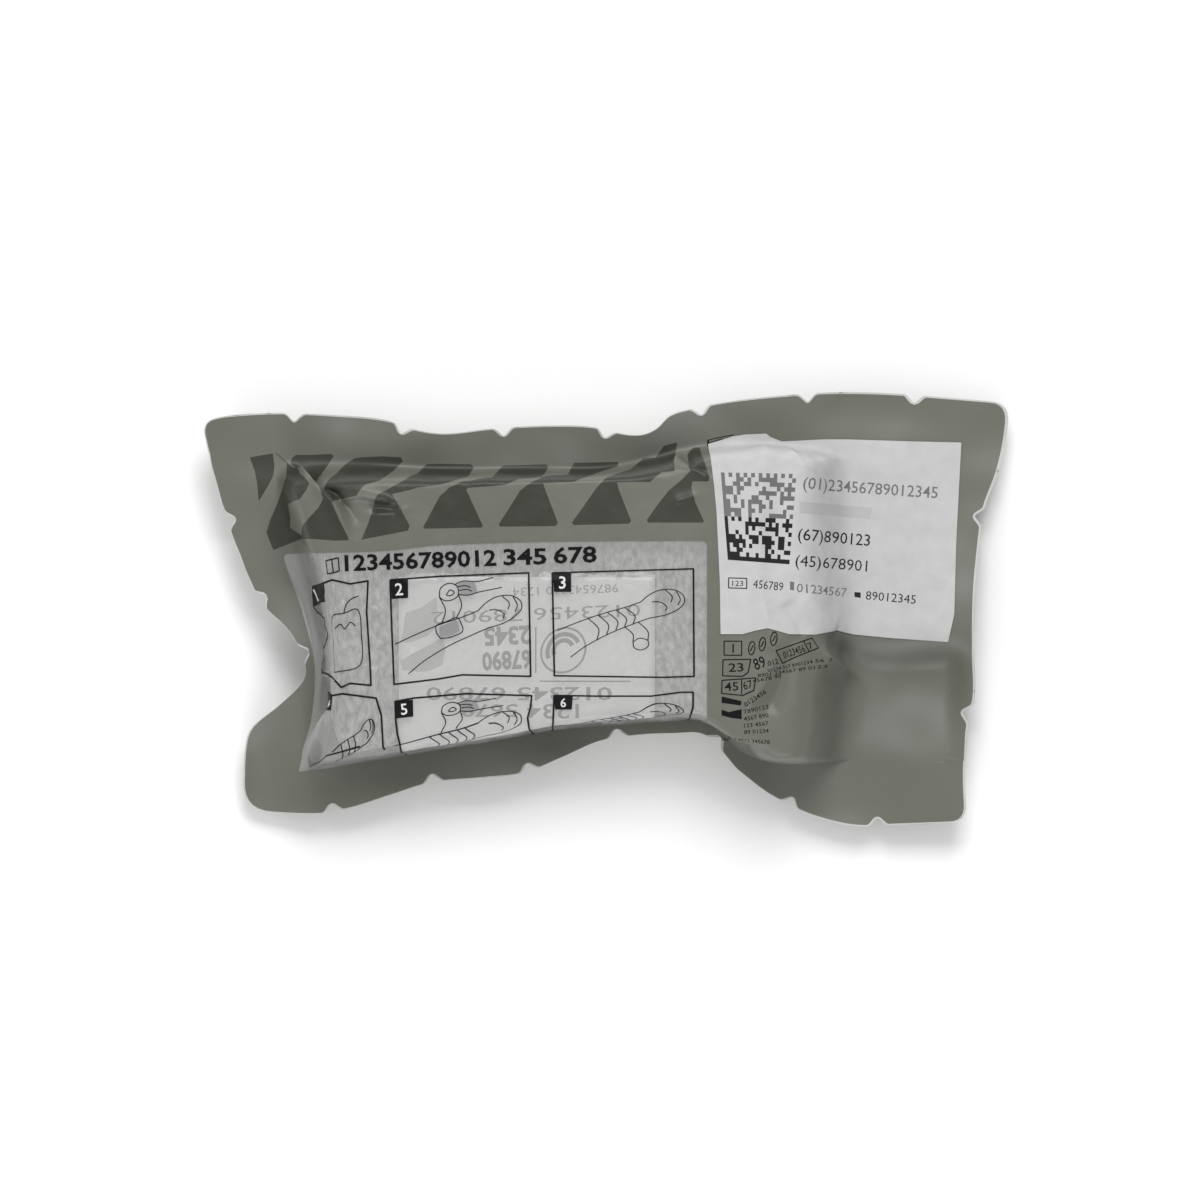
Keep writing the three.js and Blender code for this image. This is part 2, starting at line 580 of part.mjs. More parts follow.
function loft(sections) {
  const positions = [];
  const triangle = (a, b, c) => [a, b, c].forEach((p) => positions.push(p.x, p.y, p.z));
  const count = sections[0].length;
  for (let i = 0; i + 1 < sections.length; i += 1) {
    for (let j = 0; j < count; j += 1) {
      const k = (j + 1) % count;
      triangle(sections[i][j], sections[i + 1][k], sections[i + 1][j]);
      triangle(sections[i][j], sections[i][k], sections[i + 1][k]);
    }
  }
  const cap = (section, flip) => {
    const centre = section.reduce((sum, p) => sum.add(p), new THREE.Vector3()).divideScalar(count);
    section.forEach((p, j) => {
      const next = section[(j + 1) % count];
      if (flip) triangle(centre, next, p);
      else triangle(centre, p, next);
    });
  };
  cap(sections[0], true);
  cap(sections[sections.length - 1], false);
  const geometry = new THREE.BufferGeometry();
  geometry.setAttribute('position', new THREE.Float32BufferAttribute(positions, 3));
  return mergeVertices(geometry, 1e-5);
}

function bandageRoll() {
  const sections = 12;
  const places = [{ x: ROLL_WEST, shrink: ROLL_END_ROUND }];
  for (let i = 0; i <= sections; i += 1) {
    const inner = ROLL_LENGTH - 2 * ROLL_END_ROUND;
    places.push({ x: ROLL_WEST + ROLL_END_ROUND + (inner * i) / sections, shrink: 0 });
  }
  places.push({ x: ROLL_EAST, shrink: ROLL_END_ROUND });
  return loft(places.map(({ x, shrink }) => rollSection(x, shrink)));
}

// The dressing pad lies on the roll and turns down over its south side.
function dressingPad() {
  const steps = 12;
  const flat = 7;
  const bends = 5;
  const middle = ROLL_CENTRE_X + (PAD_MIDDLE * ROLL_LENGTH) / 2;
  const north = ROLL_CENTRE_Y + (PAD_NORTH * ROLL_WIDTH) / 2;
  const bend = ROLL_CORNER + CLEARANCE;
  const faces = [[], []];
  for (let i = 0; i <= steps; i += 1) {
    const x = middle + PAD_LENGTH * (i / steps - 0.5);
    const centreY = southSide(x / HALF_LENGTH) - CLEARANCE + bend;
    const centreZ = PAD_BOTTOM - bend;
    faces.forEach((face, side) => {
      const radius = bend + (side === 0 ? PAD_THICKNESS : 0);
      const line = [];
      line.push(new THREE.Vector3(x, centreY - radius, centreZ - PAD_TUCK));
      for (let b = 0; b <= bends; b += 1) {
        const angle = (b / bends) * (Math.PI / 2);
        const z = centreZ + radius * Math.sin(angle);
        line.push(new THREE.Vector3(x, centreY - radius * Math.cos(angle), z));
      }
      for (let f = 1; f <= flat; f += 1) {
        line.push(new THREE.Vector3(x, centreY + (north - centreY) * (f / flat), centreZ + radius));
      }
      face.push(line);
    });
  }
  return sheet(faces[0], faces[1]);
}

const pouch = new THREE.Group();

function addPiece(name, geometry, colour, roughness, extra = {}) {
  geometry.computeVertexNormals();
  const material = new THREE.MeshStandardMaterial({ color: colour, roughness, metalness: 0, ...extra });
  const mesh = new THREE.Mesh(geometry, material);
  mesh.name = name;
  pouch.add(mesh);
}

addPiece('pouch_back_film', backFilm(), COLOURS.film, 0.5);
addPiece('pouch_front_film', frontFilm(), COLOURS.film, 0.5);
addPiece('window_film', windowFilm(), COLOURS.window, 0.25, { transparent: true, opacity: 0.4 });
addPiece('paper_label', paperLabel(), COLOURS.label, 0.8);
addPiece('bandage_roll', bandageRoll(), COLOURS.bandage, 0.95);
addPiece('dressing_pad', dressingPad(), COLOURS.pad, 0.9);

// The outline's box is centred over the origin.
const outline = new THREE.Box3().setFromObject(pouch);
pouch.position.set(-(outline.min.x + outline.max.x) / 2, -(outline.min.y + outline.max.y) / 2, 0);

export default pouch;
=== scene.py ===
"""A four-inch trauma bandage, vacuum-packed in a notched film pouch with a clear window, from straight above.

Both pouch films, the window and the label are drawn on one domain of columns c and rows r, whose whole
numbers are the lines where the film's form changes, as in the part's own source. The print is laid out in
the photograph's pixels and carried back onto the film. Lengths are millimetres until a mesh is made.
"""

import math

import bpy
import numpy as np
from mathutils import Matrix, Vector, kdtree
from mathutils.geometry import delaunay_2d_cdt


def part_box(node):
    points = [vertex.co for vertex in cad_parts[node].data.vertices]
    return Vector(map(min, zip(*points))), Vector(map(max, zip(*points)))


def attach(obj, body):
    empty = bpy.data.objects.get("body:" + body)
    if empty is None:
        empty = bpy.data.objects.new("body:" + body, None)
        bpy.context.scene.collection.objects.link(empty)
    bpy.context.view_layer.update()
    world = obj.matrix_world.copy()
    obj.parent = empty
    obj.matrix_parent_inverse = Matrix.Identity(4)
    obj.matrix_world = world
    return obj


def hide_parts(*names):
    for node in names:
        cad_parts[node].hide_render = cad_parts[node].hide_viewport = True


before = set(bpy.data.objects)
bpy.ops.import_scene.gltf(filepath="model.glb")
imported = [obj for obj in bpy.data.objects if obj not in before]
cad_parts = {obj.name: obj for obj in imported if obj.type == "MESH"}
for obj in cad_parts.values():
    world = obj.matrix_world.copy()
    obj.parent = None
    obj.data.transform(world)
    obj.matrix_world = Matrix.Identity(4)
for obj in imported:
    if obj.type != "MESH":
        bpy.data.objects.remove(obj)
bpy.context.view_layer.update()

MM = 0.001

# The photograph's frame: millimetres for a pixel, its width in pixels and the pixel over the part's origin.
PIXEL = 0.235
FRAME_PIXELS = 1200
ORIGIN_PX = np.array([607.5, 610.0])

# Sizes of the pouch, the same as in the part's source
POUCH_LENGTH = 190.4
POUCH_WIDTH = 102.4
FLANGE_HEIGHT = 10.5
CLEARANCE = 0.35
FILM_ROOM = 0.8
PAD_THICKNESS = 1.0
ROLL_LENGTH = 101.6
ROLL_WIDTH = 57.0
ROLL_CORNER = 6.0
ROLL_END_ROUND = 3.0
ROLL_CENTRE_X = -11.8
ROLL_CENTRE_Y = 1.5
PAD_LENGTH = 60.0
PAD_MIDDLE = -0.14
PAD_NORTH = 0.22
PAD_TUCK = 7.0
NARROWEST_SEAL = 2.6
CROWN = 0.6
BACK_LEAD = 0.7
STRAIGHT_PAST = 0.12
STEEP_COLUMNS = {1: 0.5, 4: 0.2}
FULL_WALL = "full"
STEEP_ROWS = {1: FULL_WALL, 4: 0.6}
MEAN_STEEP_ROWS = {1: 0.85, 4: 0.6}

HALF_LENGTH = POUCH_LENGTH / 2
HALF_WIDTH = POUCH_WIDTH / 2
ROLL_WEST = ROLL_CENTRE_X - ROLL_LENGTH / 2
ROLL_EAST = ROLL_CENTRE_X + ROLL_LENGTH / 2
ROOM = PAD_THICKNESS + FILM_ROOM + 2 * CLEARANCE

# Heights and the shift of the source's group come from the frame's own nodes.
ROLL_LOW, ROLL_HIGH = (np.array(corner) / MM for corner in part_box("bandage_roll"))
PAD_HIGH = np.array(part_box("dressing_pad")[1]) / MM
ROLL_BOTTOM = ROLL_LOW[2]
ROLL_TOP = ROLL_HIGH[2]
PAD_TOP = PAD_HIGH[2]
PAD_BOTTOM = PAD_TOP - PAD_THICKNESS
PLATEAU = PAD_TOP + CLEARANCE + FILM_ROOM
SHIFT = np.array([
    ROLL_LOW[0] - ROLL_WEST,
    PAD_HIGH[1] - ROLL_CENTRE_Y - PAD_NORTH * ROLL_WIDTH / 2,
    0.0,
])

# The visible film's wall, the gap between both films at the seal and the label's paper
FILM = 0.32
SEAL_GAP = 0.1
PAPER = 0.16
PAPER_GAP = 0.1

# The pouch's lines as in the part's source, at places in shares of its half size. South and north: the
# wall's top in shares of the roll's half width, and its foot's distance from there in ROOMs. West: the
# wall's top and foot in ROOMs past the roll. East: its top in ROOMs, its foot as a share of the way to the
# pouch's end. Edges: the cut edge, as a share of the way from the narrowest seal to the pouch's own size.
# The west edge follows the photograph more closely than the source's.
SOUTH_LINES = [
    (-0.9, 1.24, 2.05), (-0.76, 1.21, 2.05), (-0.51, 1.08, 2.07), (-0.265, 0.95, 2.05),
    (-0.117, 0.86, 2.09), (0.08, 0.81, 2.07), (0.16, 0.835, 1.6), (0.228, 0.865, 1.2),
    (0.28, 0.93, 1.5), (0.33, 1.03, 2.2), (0.43, 1.13, 2.25), (0.6, 1.09, 2.46), (0.9, 1.09, 2.46),
]
NORTH_LINES = [
    (-0.95, 0.83, 4.61), (-0.75, 0.86, 4.1), (-0.6, 0.92, 3.32), (-0.4, 0.95, 2.33),
    (-0.15, 0.97, 2.05), (0, 0.98, 2.05), (0.17, 1.03, 3.22), (0.26, 1.11, 2.87),
    (0.36, 1.13, 2.81), (0.52, 1.1, 2.7), (0.95, 1.06, 2.87),
]
WEST_LINES = [
    (-0.9, 2.76, 5.42), (-0.75, 2.45, 4.81), (-0.6, 1.24, 4.09), (-0.41, 0.66, 2.9), (-0.18, 0.47, 2.55),
    (0.05, 0.66, 3.71), (0.27, 1.04, 5.42), (0.5, 2.0, 6.87), (0.7, 3.71, 7.44), (0.9, 3.9, 7.71),
]
EAST_LINES = [
    (-0.9, 0.65, 0.36), (-0.7, 0.65, 0.36), (-0.3, 0.2, 0.45), (0, 0.2, 0.45), (0.3, 0.65, 0.42),
    (0.7, 1.9, 0.34), (0.9, 1.9, 0.34),
]
SOUTH_EDGE = [
    (-0.91, 0.6), (-0.722, 0.72), (-0.636, 0.63), (-0.537, 0.45), (-0.438, 0.31), (-0.315, 0.32),
    (-0.204, 0.32), (-0.117, 0.2), (-0.019, 0.04), (0.08, 0), (0.191, 0.01), (0.253, 0.02),
    (0.283, 0.08), (0.34, 0.17), (0.414, 0.43), (0.512, 0.79), (0.611, 0.98), (0.722, 0.96), (0.885, 0.91),
]
NORTH_EDGE = [
    (-1, 0.43), (-0.94, 0.54), (-0.809, 0.61), (-0.648, 0.56), (-0.549, 0.5), (-0.475, 0.36),
    (-0.401, 0.32), (-0.29, 0.41), (-0.142, 0.46), (-0.031, 0.43), (0.08, 0.18), (0.122, 0.23),
    (0.154, 0.46), (0.204, 0.57), (0.377, 0.85), (0.525, 1), (0.673, 1), (0.846, 0.88), (1, 0.76),
]
WEST_EDGE = [
    (-0.94, 0.45), (-0.803, 0.48), (-0.65, 0.51), (-0.54, 0.54), (-0.435, 0.5), (-0.33, 0.22),
    (-0.225, 0), (-0.12, 0), (-0.015, 0.09), (0.09, 0.31), (0.195, 0.4), (0.3, 0.47), (0.44, 0.55),
    (0.51, 0.58), (0.58, 0.65), (0.65, 0.77), (0.693, 0.85), (0.81, 0.96), (0.868, 1),
]
EAST_EDGE = [
    (-0.977, 0.68), (-0.872, 0.69), (-0.665, 0.67), (-0.486, 0.67), (-0.367, 0.7), (-0.183, 0.68),
    (0.046, 0.69), (0.229, 0.73), (0.436, 0.8), (0.596, 0.91), (0.757, 0.97), (0.955, 1),
]
WINDOW_EAST = 0.69
WINDOW_NORTH = [(-0.8, 0.41), (-0.55, 0.43), (-0.4, 0.48), (0, 0.51), (1, 0.51)]
MEAN_ROWS = [-0.84, -0.65, -0.54, 0.3, 0.58, 0.72, 0.9]

# Slow waves of the sealed flange: place u, v, share of its height, reach across u and v
FLANGE_WAVES = [
    (-1.0, 0.9, 0.22, 0.2, 0.4), (-0.45, 0.85, 0.2, 0.12, 0.25), (-0.78, -0.25, 0.3, 0.15, 0.25),
    (-0.9, -0.9, -0.38, 0.2, 0.3), (-0.25, -0.8, 0.16, 0.2, 0.2), (0.1, 0.85, 0.2, 0.1, 0.2),
    (0.13, -0.58, 0.2, 0.15, 0.15), (0.55, -1.0, -0.3, 0.3, 0.35), (1.0, 0.9, -0.34, 0.3, 0.5),
    (0.9, -0.1, 0.2, 0.12, 0.35),
]

# Tear notches: the side, and the places along it as shares of the pouch's half length or width
NOTCHES = {
    "south": [-0.677, -0.433, -0.192, 0.025, 0.266, 0.45, 0.67],
    "east": [-0.481, 0.427],
    "north": [-0.775, -0.506, -0.257, 0.0, 0.23, 0.494, 0.762],
    "west": [-0.2, 0.045, 0.411],
}
NOTCH_PROFILE = [
    (-2.7, 0), (-2.1, 0.12), (-1.5, 0.55), (-0.35, 1.75), (0, 1.9), (0.35, 1.75), (1.5, 0.55), (2.1, 0.12),
    (2.7, 0),
]
CORNER_REACH = {"south_west": 7.0, "south_east": 4.2, "north_east": 4.6, "north_west": 2.8}

# The flat print's length of each column zone and row zone, for even meshes and even strokes
COLUMN_SPANS = [20, 22, 84, 15, 28, 22]
ROW_SPANS = [20, 19, 42, 14, 20, 13]
COLUMN_MARKS = np.concatenate([[0], np.cumsum(COLUMN_SPANS)])
ROW_MARKS = np.concatenate([[0], np.cumsum(ROW_SPANS)])


# Reading the tables

def curve(table, column=1):
    """A smooth curve through one column of a table, held level past its ends."""
    keys = np.array([row[0] for row in table], float)
    values = np.array([row[column] for row in table], float)
    slopes = np.empty_like(values)
    slopes[1:-1] = (values[2:] - values[:-2]) / (keys[2:] - keys[:-2])
    slopes[0] = (values[1] - values[0]) / (keys[1] - keys[0])
    slopes[-1] = (values[-1] - values[-2]) / (keys[-1] - keys[-2])

    def at(place):
        place = np.clip(place, keys[0], keys[-1])
        i = np.clip(np.searchsorted(keys, place) - 1, 0, len(keys) - 2)
        step = keys[i + 1] - keys[i]
        t = (place - keys[i]) / step
        rest = 1 - t
        low = values[i] * (1 + 2 * t) * rest * rest + slopes[i] * step * t * rest * rest
        high = values[i + 1] * t * t * (3 - 2 * t) - slopes[i + 1] * step * t * t * rest
        return low + high

    return at


FULL_WALL_LEAN = 0.1


def wall_run(t, steep):
    """A wall's share of its run. A full wall is nearly upright from its foot to its shoulder."""
    if steep == FULL_WALL:
        return FULL_WALL_LEAN * t + (1 - FULL_WALL_LEAN) * t ** 6
    return t + steep * np.sin(2 * np.pi * t) / (2 * np.pi)


def wall_drop(t):
    return t - np.sin(2 * np.pi * t) / (2 * np.pi)


def between(lines, number, steepness):
    """A place among seven lines (each a number or an array), from column or row numbers."""
    number = np.asarray(number, float)
    zone = np.clip(np.floor(number).astype(int), 0, 5)
    share = number - zone
    run = share.copy()
    for wall, steep in steepness.items():
        run = np.where(zone == wall, wall_run(share, steep), run)
    stack = np.stack([np.broadcast_to(line, number.shape) for line in lines])
    low = np.take_along_axis(stack, zone[None], 0)[0]
    high = np.take_along_axis(stack, zone[None] + 1, 0)[0]
    return low + (high - low) * run


def outwards(start, limit, share):
    return start + (limit - start) * share


south_share, south_room = curve(SOUTH_LINES), curve(SOUTH_LINES, 2)
north_share, north_room = curve(NORTH_LINES), curve(NORTH_LINES, 2)
west_top, west_room = curve(WEST_LINES), curve(WEST_LINES, 2)
east_top, east_share = curve(EAST_LINES), curve(EAST_LINES, 2)
south_out, north_out = curve(SOUTH_EDGE), curve(NORTH_EDGE)
west_out, east_out = curve(WEST_EDGE), curve(EAST_EDGE)
window_share = curve(WINDOW_NORTH)


def south_side(u):
    return ROLL_CENTRE_Y - south_share(u) * ROLL_WIDTH / 2


def north_side(u):
    return ROLL_CENTRE_Y + north_share(u) * ROLL_WIDTH / 2


def column_lines(v):
    west_foot = ROLL_WEST - west_room(v) * ROOM
    east_foot = outwards(ROLL_EAST, HALF_LENGTH, east_share(v))
    return [
        outwards(west_foot - NARROWEST_SEAL, -HALF_LENGTH, west_out(v)),
        west_foot,
        ROLL_WEST - west_top(v) * ROOM,
        ROLL_CENTRE_X + WINDOW_EAST * ROLL_LENGTH / 2,
        ROLL_EAST + east_top(v) * ROOM,
        east_foot,
        outwards(east_foot + NARROWEST_SEAL, HALF_LENGTH, east_out(v)),
    ]


def column_x(c, r):
    mean = between(MEAN_ROWS, r, MEAN_STEEP_ROWS)
    return between(column_lines(mean), c, STEEP_COLUMNS)


LINE_COLUMNS = [column_lines(v) for v in MEAN_ROWS]


def row_lines(c):
    u = [between(lines, c, STEEP_COLUMNS) / HALF_LENGTH for lines in LINE_COLUMNS]
    south_foot = [south_side(u[i]) - south_room(u[i]) * ROOM for i in (0, 1)]
    north_foot = [north_side(u[i]) + north_room(u[i]) * ROOM for i in (5, 6)]
    return [
        outwards(south_foot[0] - NARROWEST_SEAL, -HALF_WIDTH, south_out(u[0])),
        south_foot[1],
        south_side(u[2]),
        ROLL_CENTRE_Y + window_share(u[3]) * ROLL_WIDTH / 2,
        north_side(u[4]),
        north_foot[0],
        outwards(north_foot[1] + NARROWEST_SEAL, HALF_WIDTH, north_out(u[6])),
    ]


def plan(c, r):
    """The x and y of a place on the film, seen from above."""
    return column_x(c, r), between(row_lines(c), r, STEEP_ROWS)


# From the photograph's pixels back onto the film

def plane_tree(points):
    """A search tree of places in a plane."""
    tree = kdtree.KDTree(len(points))
    for index, (x, y) in enumerate(points):
        tree.insert((x, y, 0), index)
    tree.balance()
    return tree


GUESS_STEP = 0.06
guess_c, guess_r = (grid.ravel() for grid in np.meshgrid(
    np.arange(0, 6 + GUESS_STEP / 2, GUESS_STEP), np.arange(0, 6 + GUESS_STEP / 2, GUESS_STEP)))
guess_tree = plane_tree(np.stack(plan(guess_c, guess_r), -1))

NEWTON_STEPS = 24
LONGEST_MOVE = 0.2
LEAST_AREA = 1e-6


def place_on_film(x, y):
    """The column and row numbers over places in plan, by Newton's method from the nearest of a grid."""
    nearest = [guess_tree.find((px, py, 0))[1] for px, py in zip(x, y)]
    c, r = guess_c[nearest].copy(), guess_r[nearest].copy()
    step = 1e-4
    for _ in range(NEWTON_STEPS):
        c0, r0 = np.minimum(c, 6 - step), np.minimum(r, 6 - step)
        x0, y0 = plan(c0, r0)
        xc, yc = plan(c0 + step, r0)
        xr, yr = plan(c0, r0 + step)
        a, b = (xc - x0) / step, (xr - x0) / step
        d, e = (yc - y0) / step, (yr - y0) / step
        det = a * e - b * d
        det = np.where(np.abs(det) < LEAST_AREA, LEAST_AREA, det)
        dc = (e * (x - x0) - b * (y - y0)) / det
        dr = (a * (y - y0) - d * (x - x0)) / det
        c = np.clip(c0 + np.clip(dc, -LONGEST_MOVE, LONGEST_MOVE), 0, 6)
        r = np.clip(r0 + np.clip(dr, -LONGEST_MOVE, LONGEST_MOVE), 0, 6)
    return c, r


def to_flat(c, r):
    return np.stack([np.interp(c, range(7), COLUMN_MARKS), np.interp(r, range(7), ROW_MARKS)], -1)


def from_flat(flat):
    return np.interp(flat[:, 0], COLUMN_MARKS, range(7)), np.interp(flat[:, 1], ROW_MARKS, range(7))


def plan_to_flat(points):
    points = np.asarray(points, float)
    return to_flat(*place_on_film(points[:, 0], points[:, 1]))


def px_to_plan(points):
    points = np.asarray(points, float)
    return (points - ORIGIN_PX) * [PIXEL, -PIXEL]


def px_to_flat(points):
    return plan_to_flat(px_to_plan(points))


# The film's form

def rise(number):
    up = wall_drop(np.clip(number - 1, 0, 1))
    down = wall_drop(np.clip(5 - number, 0, 1))
    return np.minimum(up, down)


def waves(a, b, seed, size, count=16):
    """Smooth seeded relief, about 1 high, of waves of about one size in all directions."""
    random = np.random.default_rng(seed)
    total = np.zeros_like(a)
    for _ in range(count):
        angle, phase = random.uniform(0, 2 * np.pi, 2)
        turn = 2 * np.pi / (size * random.uniform(0.7, 1.5))
        total += np.sin(turn * (a * np.cos(angle) + b * np.sin(angle)) + phase)
    return total / math.sqrt(count / 2)


def creased(a, b, seed, size):
    """Seeded relief with sharp ridges, from 0 down to about -1."""
    return -np.abs(np.tanh(waves(a, b, seed, size)))


def along_path(a, b, path):
    """The distance of each place from a path, and how far along the path it lies, from 0 to 1."""
    lengths = np.hypot(*(path[1:] - path[:-1]).T)
    total = lengths.sum()
    best = np.full(a.shape, 1e9)
    along = np.zeros(a.shape)
    start = 0.0
    for p, q, length in zip(path[:-1], path[1:], lengths):
        run = q - p
        t = np.clip(((a - p[0]) * run[0] + (b - p[1]) * run[1]) / (length * length), 0, 1)
        away = np.hypot(a - p[0] - t * run[0], b - p[1] - t * run[1])
        nearer = away < best
        best = np.where(nearer, away, best)
        along = np.where(nearer, (start + t * length) / total, along)
        start += length
    return best, along


# The droop of both films beside the bandage's south-west corner: its line, rise and spread
DROOP = {"px": [(252, 760), (256, 790), (272, 806)], "rise": -2.0, "spread": 8.0}
droop_line = px_to_plan(DROOP["px"])

# The broad hollow of the flange below the label: its line, depth, and reach north, south and past its ends
HOLLOW = {"px": [(838, 670), (866, 674), (900, 675), (946, 672)], "depth": 5.2, "north": 5.2, "south": 17.0,
          "ends": 5.0}
hollow_line = px_to_plan(HOLLOW["px"])


def hollow_depth(x, y):
    beyond = x - np.clip(x, hollow_line[0, 0], hollow_line[-1, 0])
    aside = y - np.interp(x, hollow_line[:, 0], hollow_line[:, 1])
    reach = np.where(aside > 0, HOLLOW["north"], HOLLOW["south"])
    return HOLLOW["depth"] * np.exp(-(beyond / HOLLOW["ends"]) ** 2 - (aside / reach) ** 2)


# Ripples of the flange: height, seed and size
FLANGE_RIPPLES = [(0.3, 11, 26), (0.06, 12, 11)]


def seal_height(x, y):
    """The height of the sealed flange, between both films."""
    u, v = x / HALF_LENGTH, y / HALF_WIDTH
    share = 1.0
    for wave_u, wave_v, height, across_u, across_v in FLANGE_WAVES:
        share = share + height * np.exp(-((u - wave_u) / across_u) ** 2 - ((v - wave_v) / across_v) ** 2)
    ripple = sum(height * waves(x, y, seed, size) for height, seed, size in FLANGE_RIPPLES)
    away = along_path(x, y, droop_line)[0] / DROOP["spread"]
    ripple = ripple - hollow_depth(x, y) + DROOP["rise"] * np.exp(-away * away)
    return FLANGE_HEIGHT * share + ripple


# Creases of the front film: rise in millimetres, spread to both sides, sharpness of the line (0 is a round
# swell, 1 a sharp fold), and points along it in the photograph's pixels
CREASES = {
    "north_west_ridge": (2.6, 1.6, 0.9, [(262, 452), (274, 452), (286, 461), (308, 481), (321, 491),
        (336, 506), (352, 542)]),
    "north_west_valley": (-2.3, 1.4, 0.7, [(294, 456), (306, 471), (322, 484), (340, 498), (356, 518)]),
    "north_west_top": (1.1, 1.0, 0.9, [(286, 461), (300, 456), (318, 454), (345, 450)]),
    "bar_fold": (1.8, 1.1, 0.85, [(336, 502), (358, 496), (376, 499), (396, 502)]),
    "bar_fold_valley": (-1.1, 1.4, 0.4, [(370, 508), (384, 507), (400, 512)]),
    "pad_arc": (0.6, 0.7, 0.9, [(398, 658), (416, 652), (430, 640), (442, 622), (450, 606)]),
    "bar_crease": (0.6, 1.0, 0.8, [(372, 516), (396, 513), (410, 508)]),
    "west_flap_valley": (-1.0, 1.2, 0.7, [(286, 530), (301, 540), (308, 552), (313, 566)]),
    "west_flap_ridge": (0.5, 1.2, 0.8, [(297, 545), (303, 560), (311, 580), (322, 604)]),
    "roll_end": (0.9, 1.1, 0.9, [(333, 580), (336, 610), (336, 645), (338, 668), (343, 688)]),
    "roll_end_valley": (-0.6, 1.6, 0.4, [(326, 600), (326, 640), (328, 668)]),
    "roll_end_line": (0.5, 0.8, 0.9, [(353, 588), (354, 604), (352, 622)]),
    "west_kink": (1.0, 0.9, 0.9, [(322, 672), (334, 680), (342, 688), (336, 698), (330, 694)]),
    "south_west_ear": (2.6, 2.4, 0.6, [(340, 694), (331, 712), (320, 736), (307, 764)]),
    "south_west_fold": (0.9, 1.1, 0.8, [(334, 706), (333, 726), (325, 752)]),
    "south_west_valley": (-0.9, 1.6, 0.5, [(326, 700), (316, 720), (304, 742)]),
    "pinch_ridge": (1.4, 1.1, 0.9, [(680, 438), (678, 452), (676, 470)]),
    "pinch_valley": (-1.2, 1.0, 0.8, [(684, 446), (688, 460), (696, 468), (710, 474)]),
    "pinch_crease": (0.8, 0.8, 0.9, [(688, 466), (698, 472), (709, 480)]),
    "bar_swell": (0.7, 1.1, 0.7, [(672, 503), (684, 500), (696, 496)]),
    "label_pinch": (-1.3, 1.5, 0.7, [(752, 422), (766, 427), (776, 431), (792, 436)]),
    "label_corner_ridge": (1.0, 2.0, 0.5, [(766, 430), (780, 445), (798, 462), (818, 476)]),
    "label_corner_valley": (-0.8, 2.2, 0.3, [(782, 438), (800, 450), (824, 462)]),
    "label_ridge": (1.2, 2.4, 0.5, [(768, 434), (764, 460), (760, 500), (758, 540), (762, 575)]),
    "label_swell": (-0.7, 3.2, 0.2, [(776, 470), (776, 520), (772, 560), (770, 600)]),
    "label_south_ridge": (1.3, 2.2, 0.6, [(756, 570), (762, 600), (768, 630)]),
    "label_south_swell": (1.2, 2.6, 0.5, [(800, 590), (818, 612), (836, 634)]),
    "label_south_valley": (-1.2, 2.6, 0.4, [(784, 600), (796, 622), (806, 640)]),
    "print_ridge": (1.9, 1.7, 0.8, [(742, 712), (756, 694), (768, 672), (774, 652), (769, 632)]),
    "print_valley": (-1.3, 2.0, 0.5, [(764, 712), (778, 690), (786, 664), (790, 644)]),
    "light_ridge": (2.8, 2.2, 0.6, [(812, 650), (830, 664), (852, 678), (878, 696)]),
    "south_east_hollow": (-3.4, 3.8, 0.1, [(838, 650), (866, 656), (900, 658), (934, 655)]),
    "south_fold": (-2.2, 2.4, 0.3, [(716, 744), (744, 750), (774, 752)]),
    "east_swell": (0.8, 3.0, 0.3, [(878, 700), (902, 718), (924, 742)]),
}


def smooth_path(points, per_span):
    """A Catmull-Rom curve through points."""
    points = np.asarray(points, float)
    if len(points) < 3:
        return points
    ends = np.vstack([2 * points[0] - points[1], points, 2 * points[-1] - points[-2]])
    out = []
    for i in range(len(points) - 1):
        p0, p1, p2, p3 = ends[i:i + 4]
        for t in np.arange(per_span) / per_span:
            out.append(0.5 * (2 * p1 + (p2 - p0) * t + (2 * p0 - 5 * p1 + 4 * p2 - p3) * t * t
                              + (3 * p1 - p0 - 3 * p2 + p3) * t ** 3))
    out.append(points[-1])
    return np.array(out)


crease_lines = [(height, spread, sharp, px_to_flat(smooth_path(points, 3)))
                for height, spread, sharp, points in CREASES.values()]

# A crease's form: its reach in spreads, its height at its ends as a share, how swiftly it grows from there,
# and how a sharp fold falls beside its line, with the line's rounding
CREASE = {"reach": 4, "ends": 0.25, "growth": 5.5, "fall": 1.6, "rounding": 0.012, "level": 0.11}


def crease_height(a, b):
    total = np.zeros_like(a)
    for height, spread, sharp, path in crease_lines:
        reach = CREASE["reach"] * spread
        low, high = path.min(0) - reach, path.max(0) + reach
        near = (a > low[0]) & (a < high[0]) & (b > low[1]) & (b < high[1])
        if not near.any():
            continue
        away, along = along_path(a[near], b[near], path)
        away = away / spread
        fade = np.clip(CREASE["growth"] * np.minimum(along, 1 - along), 0, 1)
        fade = fade * fade * (3 - 2 * fade)
        swell = np.exp(-away * away)
        fold = np.exp(-CREASE["fall"] * (np.sqrt(away * away + CREASE["rounding"]) - CREASE["level"]))
        shape = sharp * fold + (1 - sharp) * swell
        total[near] += height * shape * (CREASE["ends"] + (1 - CREASE["ends"]) * fade)
    return total


# Fine parallel puckers of the east flange: the pixels of each patch's middle, its reach along and across, and
# its turn in radians
PUCKERS = [
    {"px": (953, 688), "along": 2.2, "across": 5.0, "turn": 1.15},
    {"px": (959, 743), "along": 1.8, "across": 4.0, "turn": 1.3},
    {"px": (949, 655), "along": 1.6, "across": 3.0, "turn": 1.0},
]
PUCKER_PITCH = 1.15
PUCKER_HEIGHT = 0.16


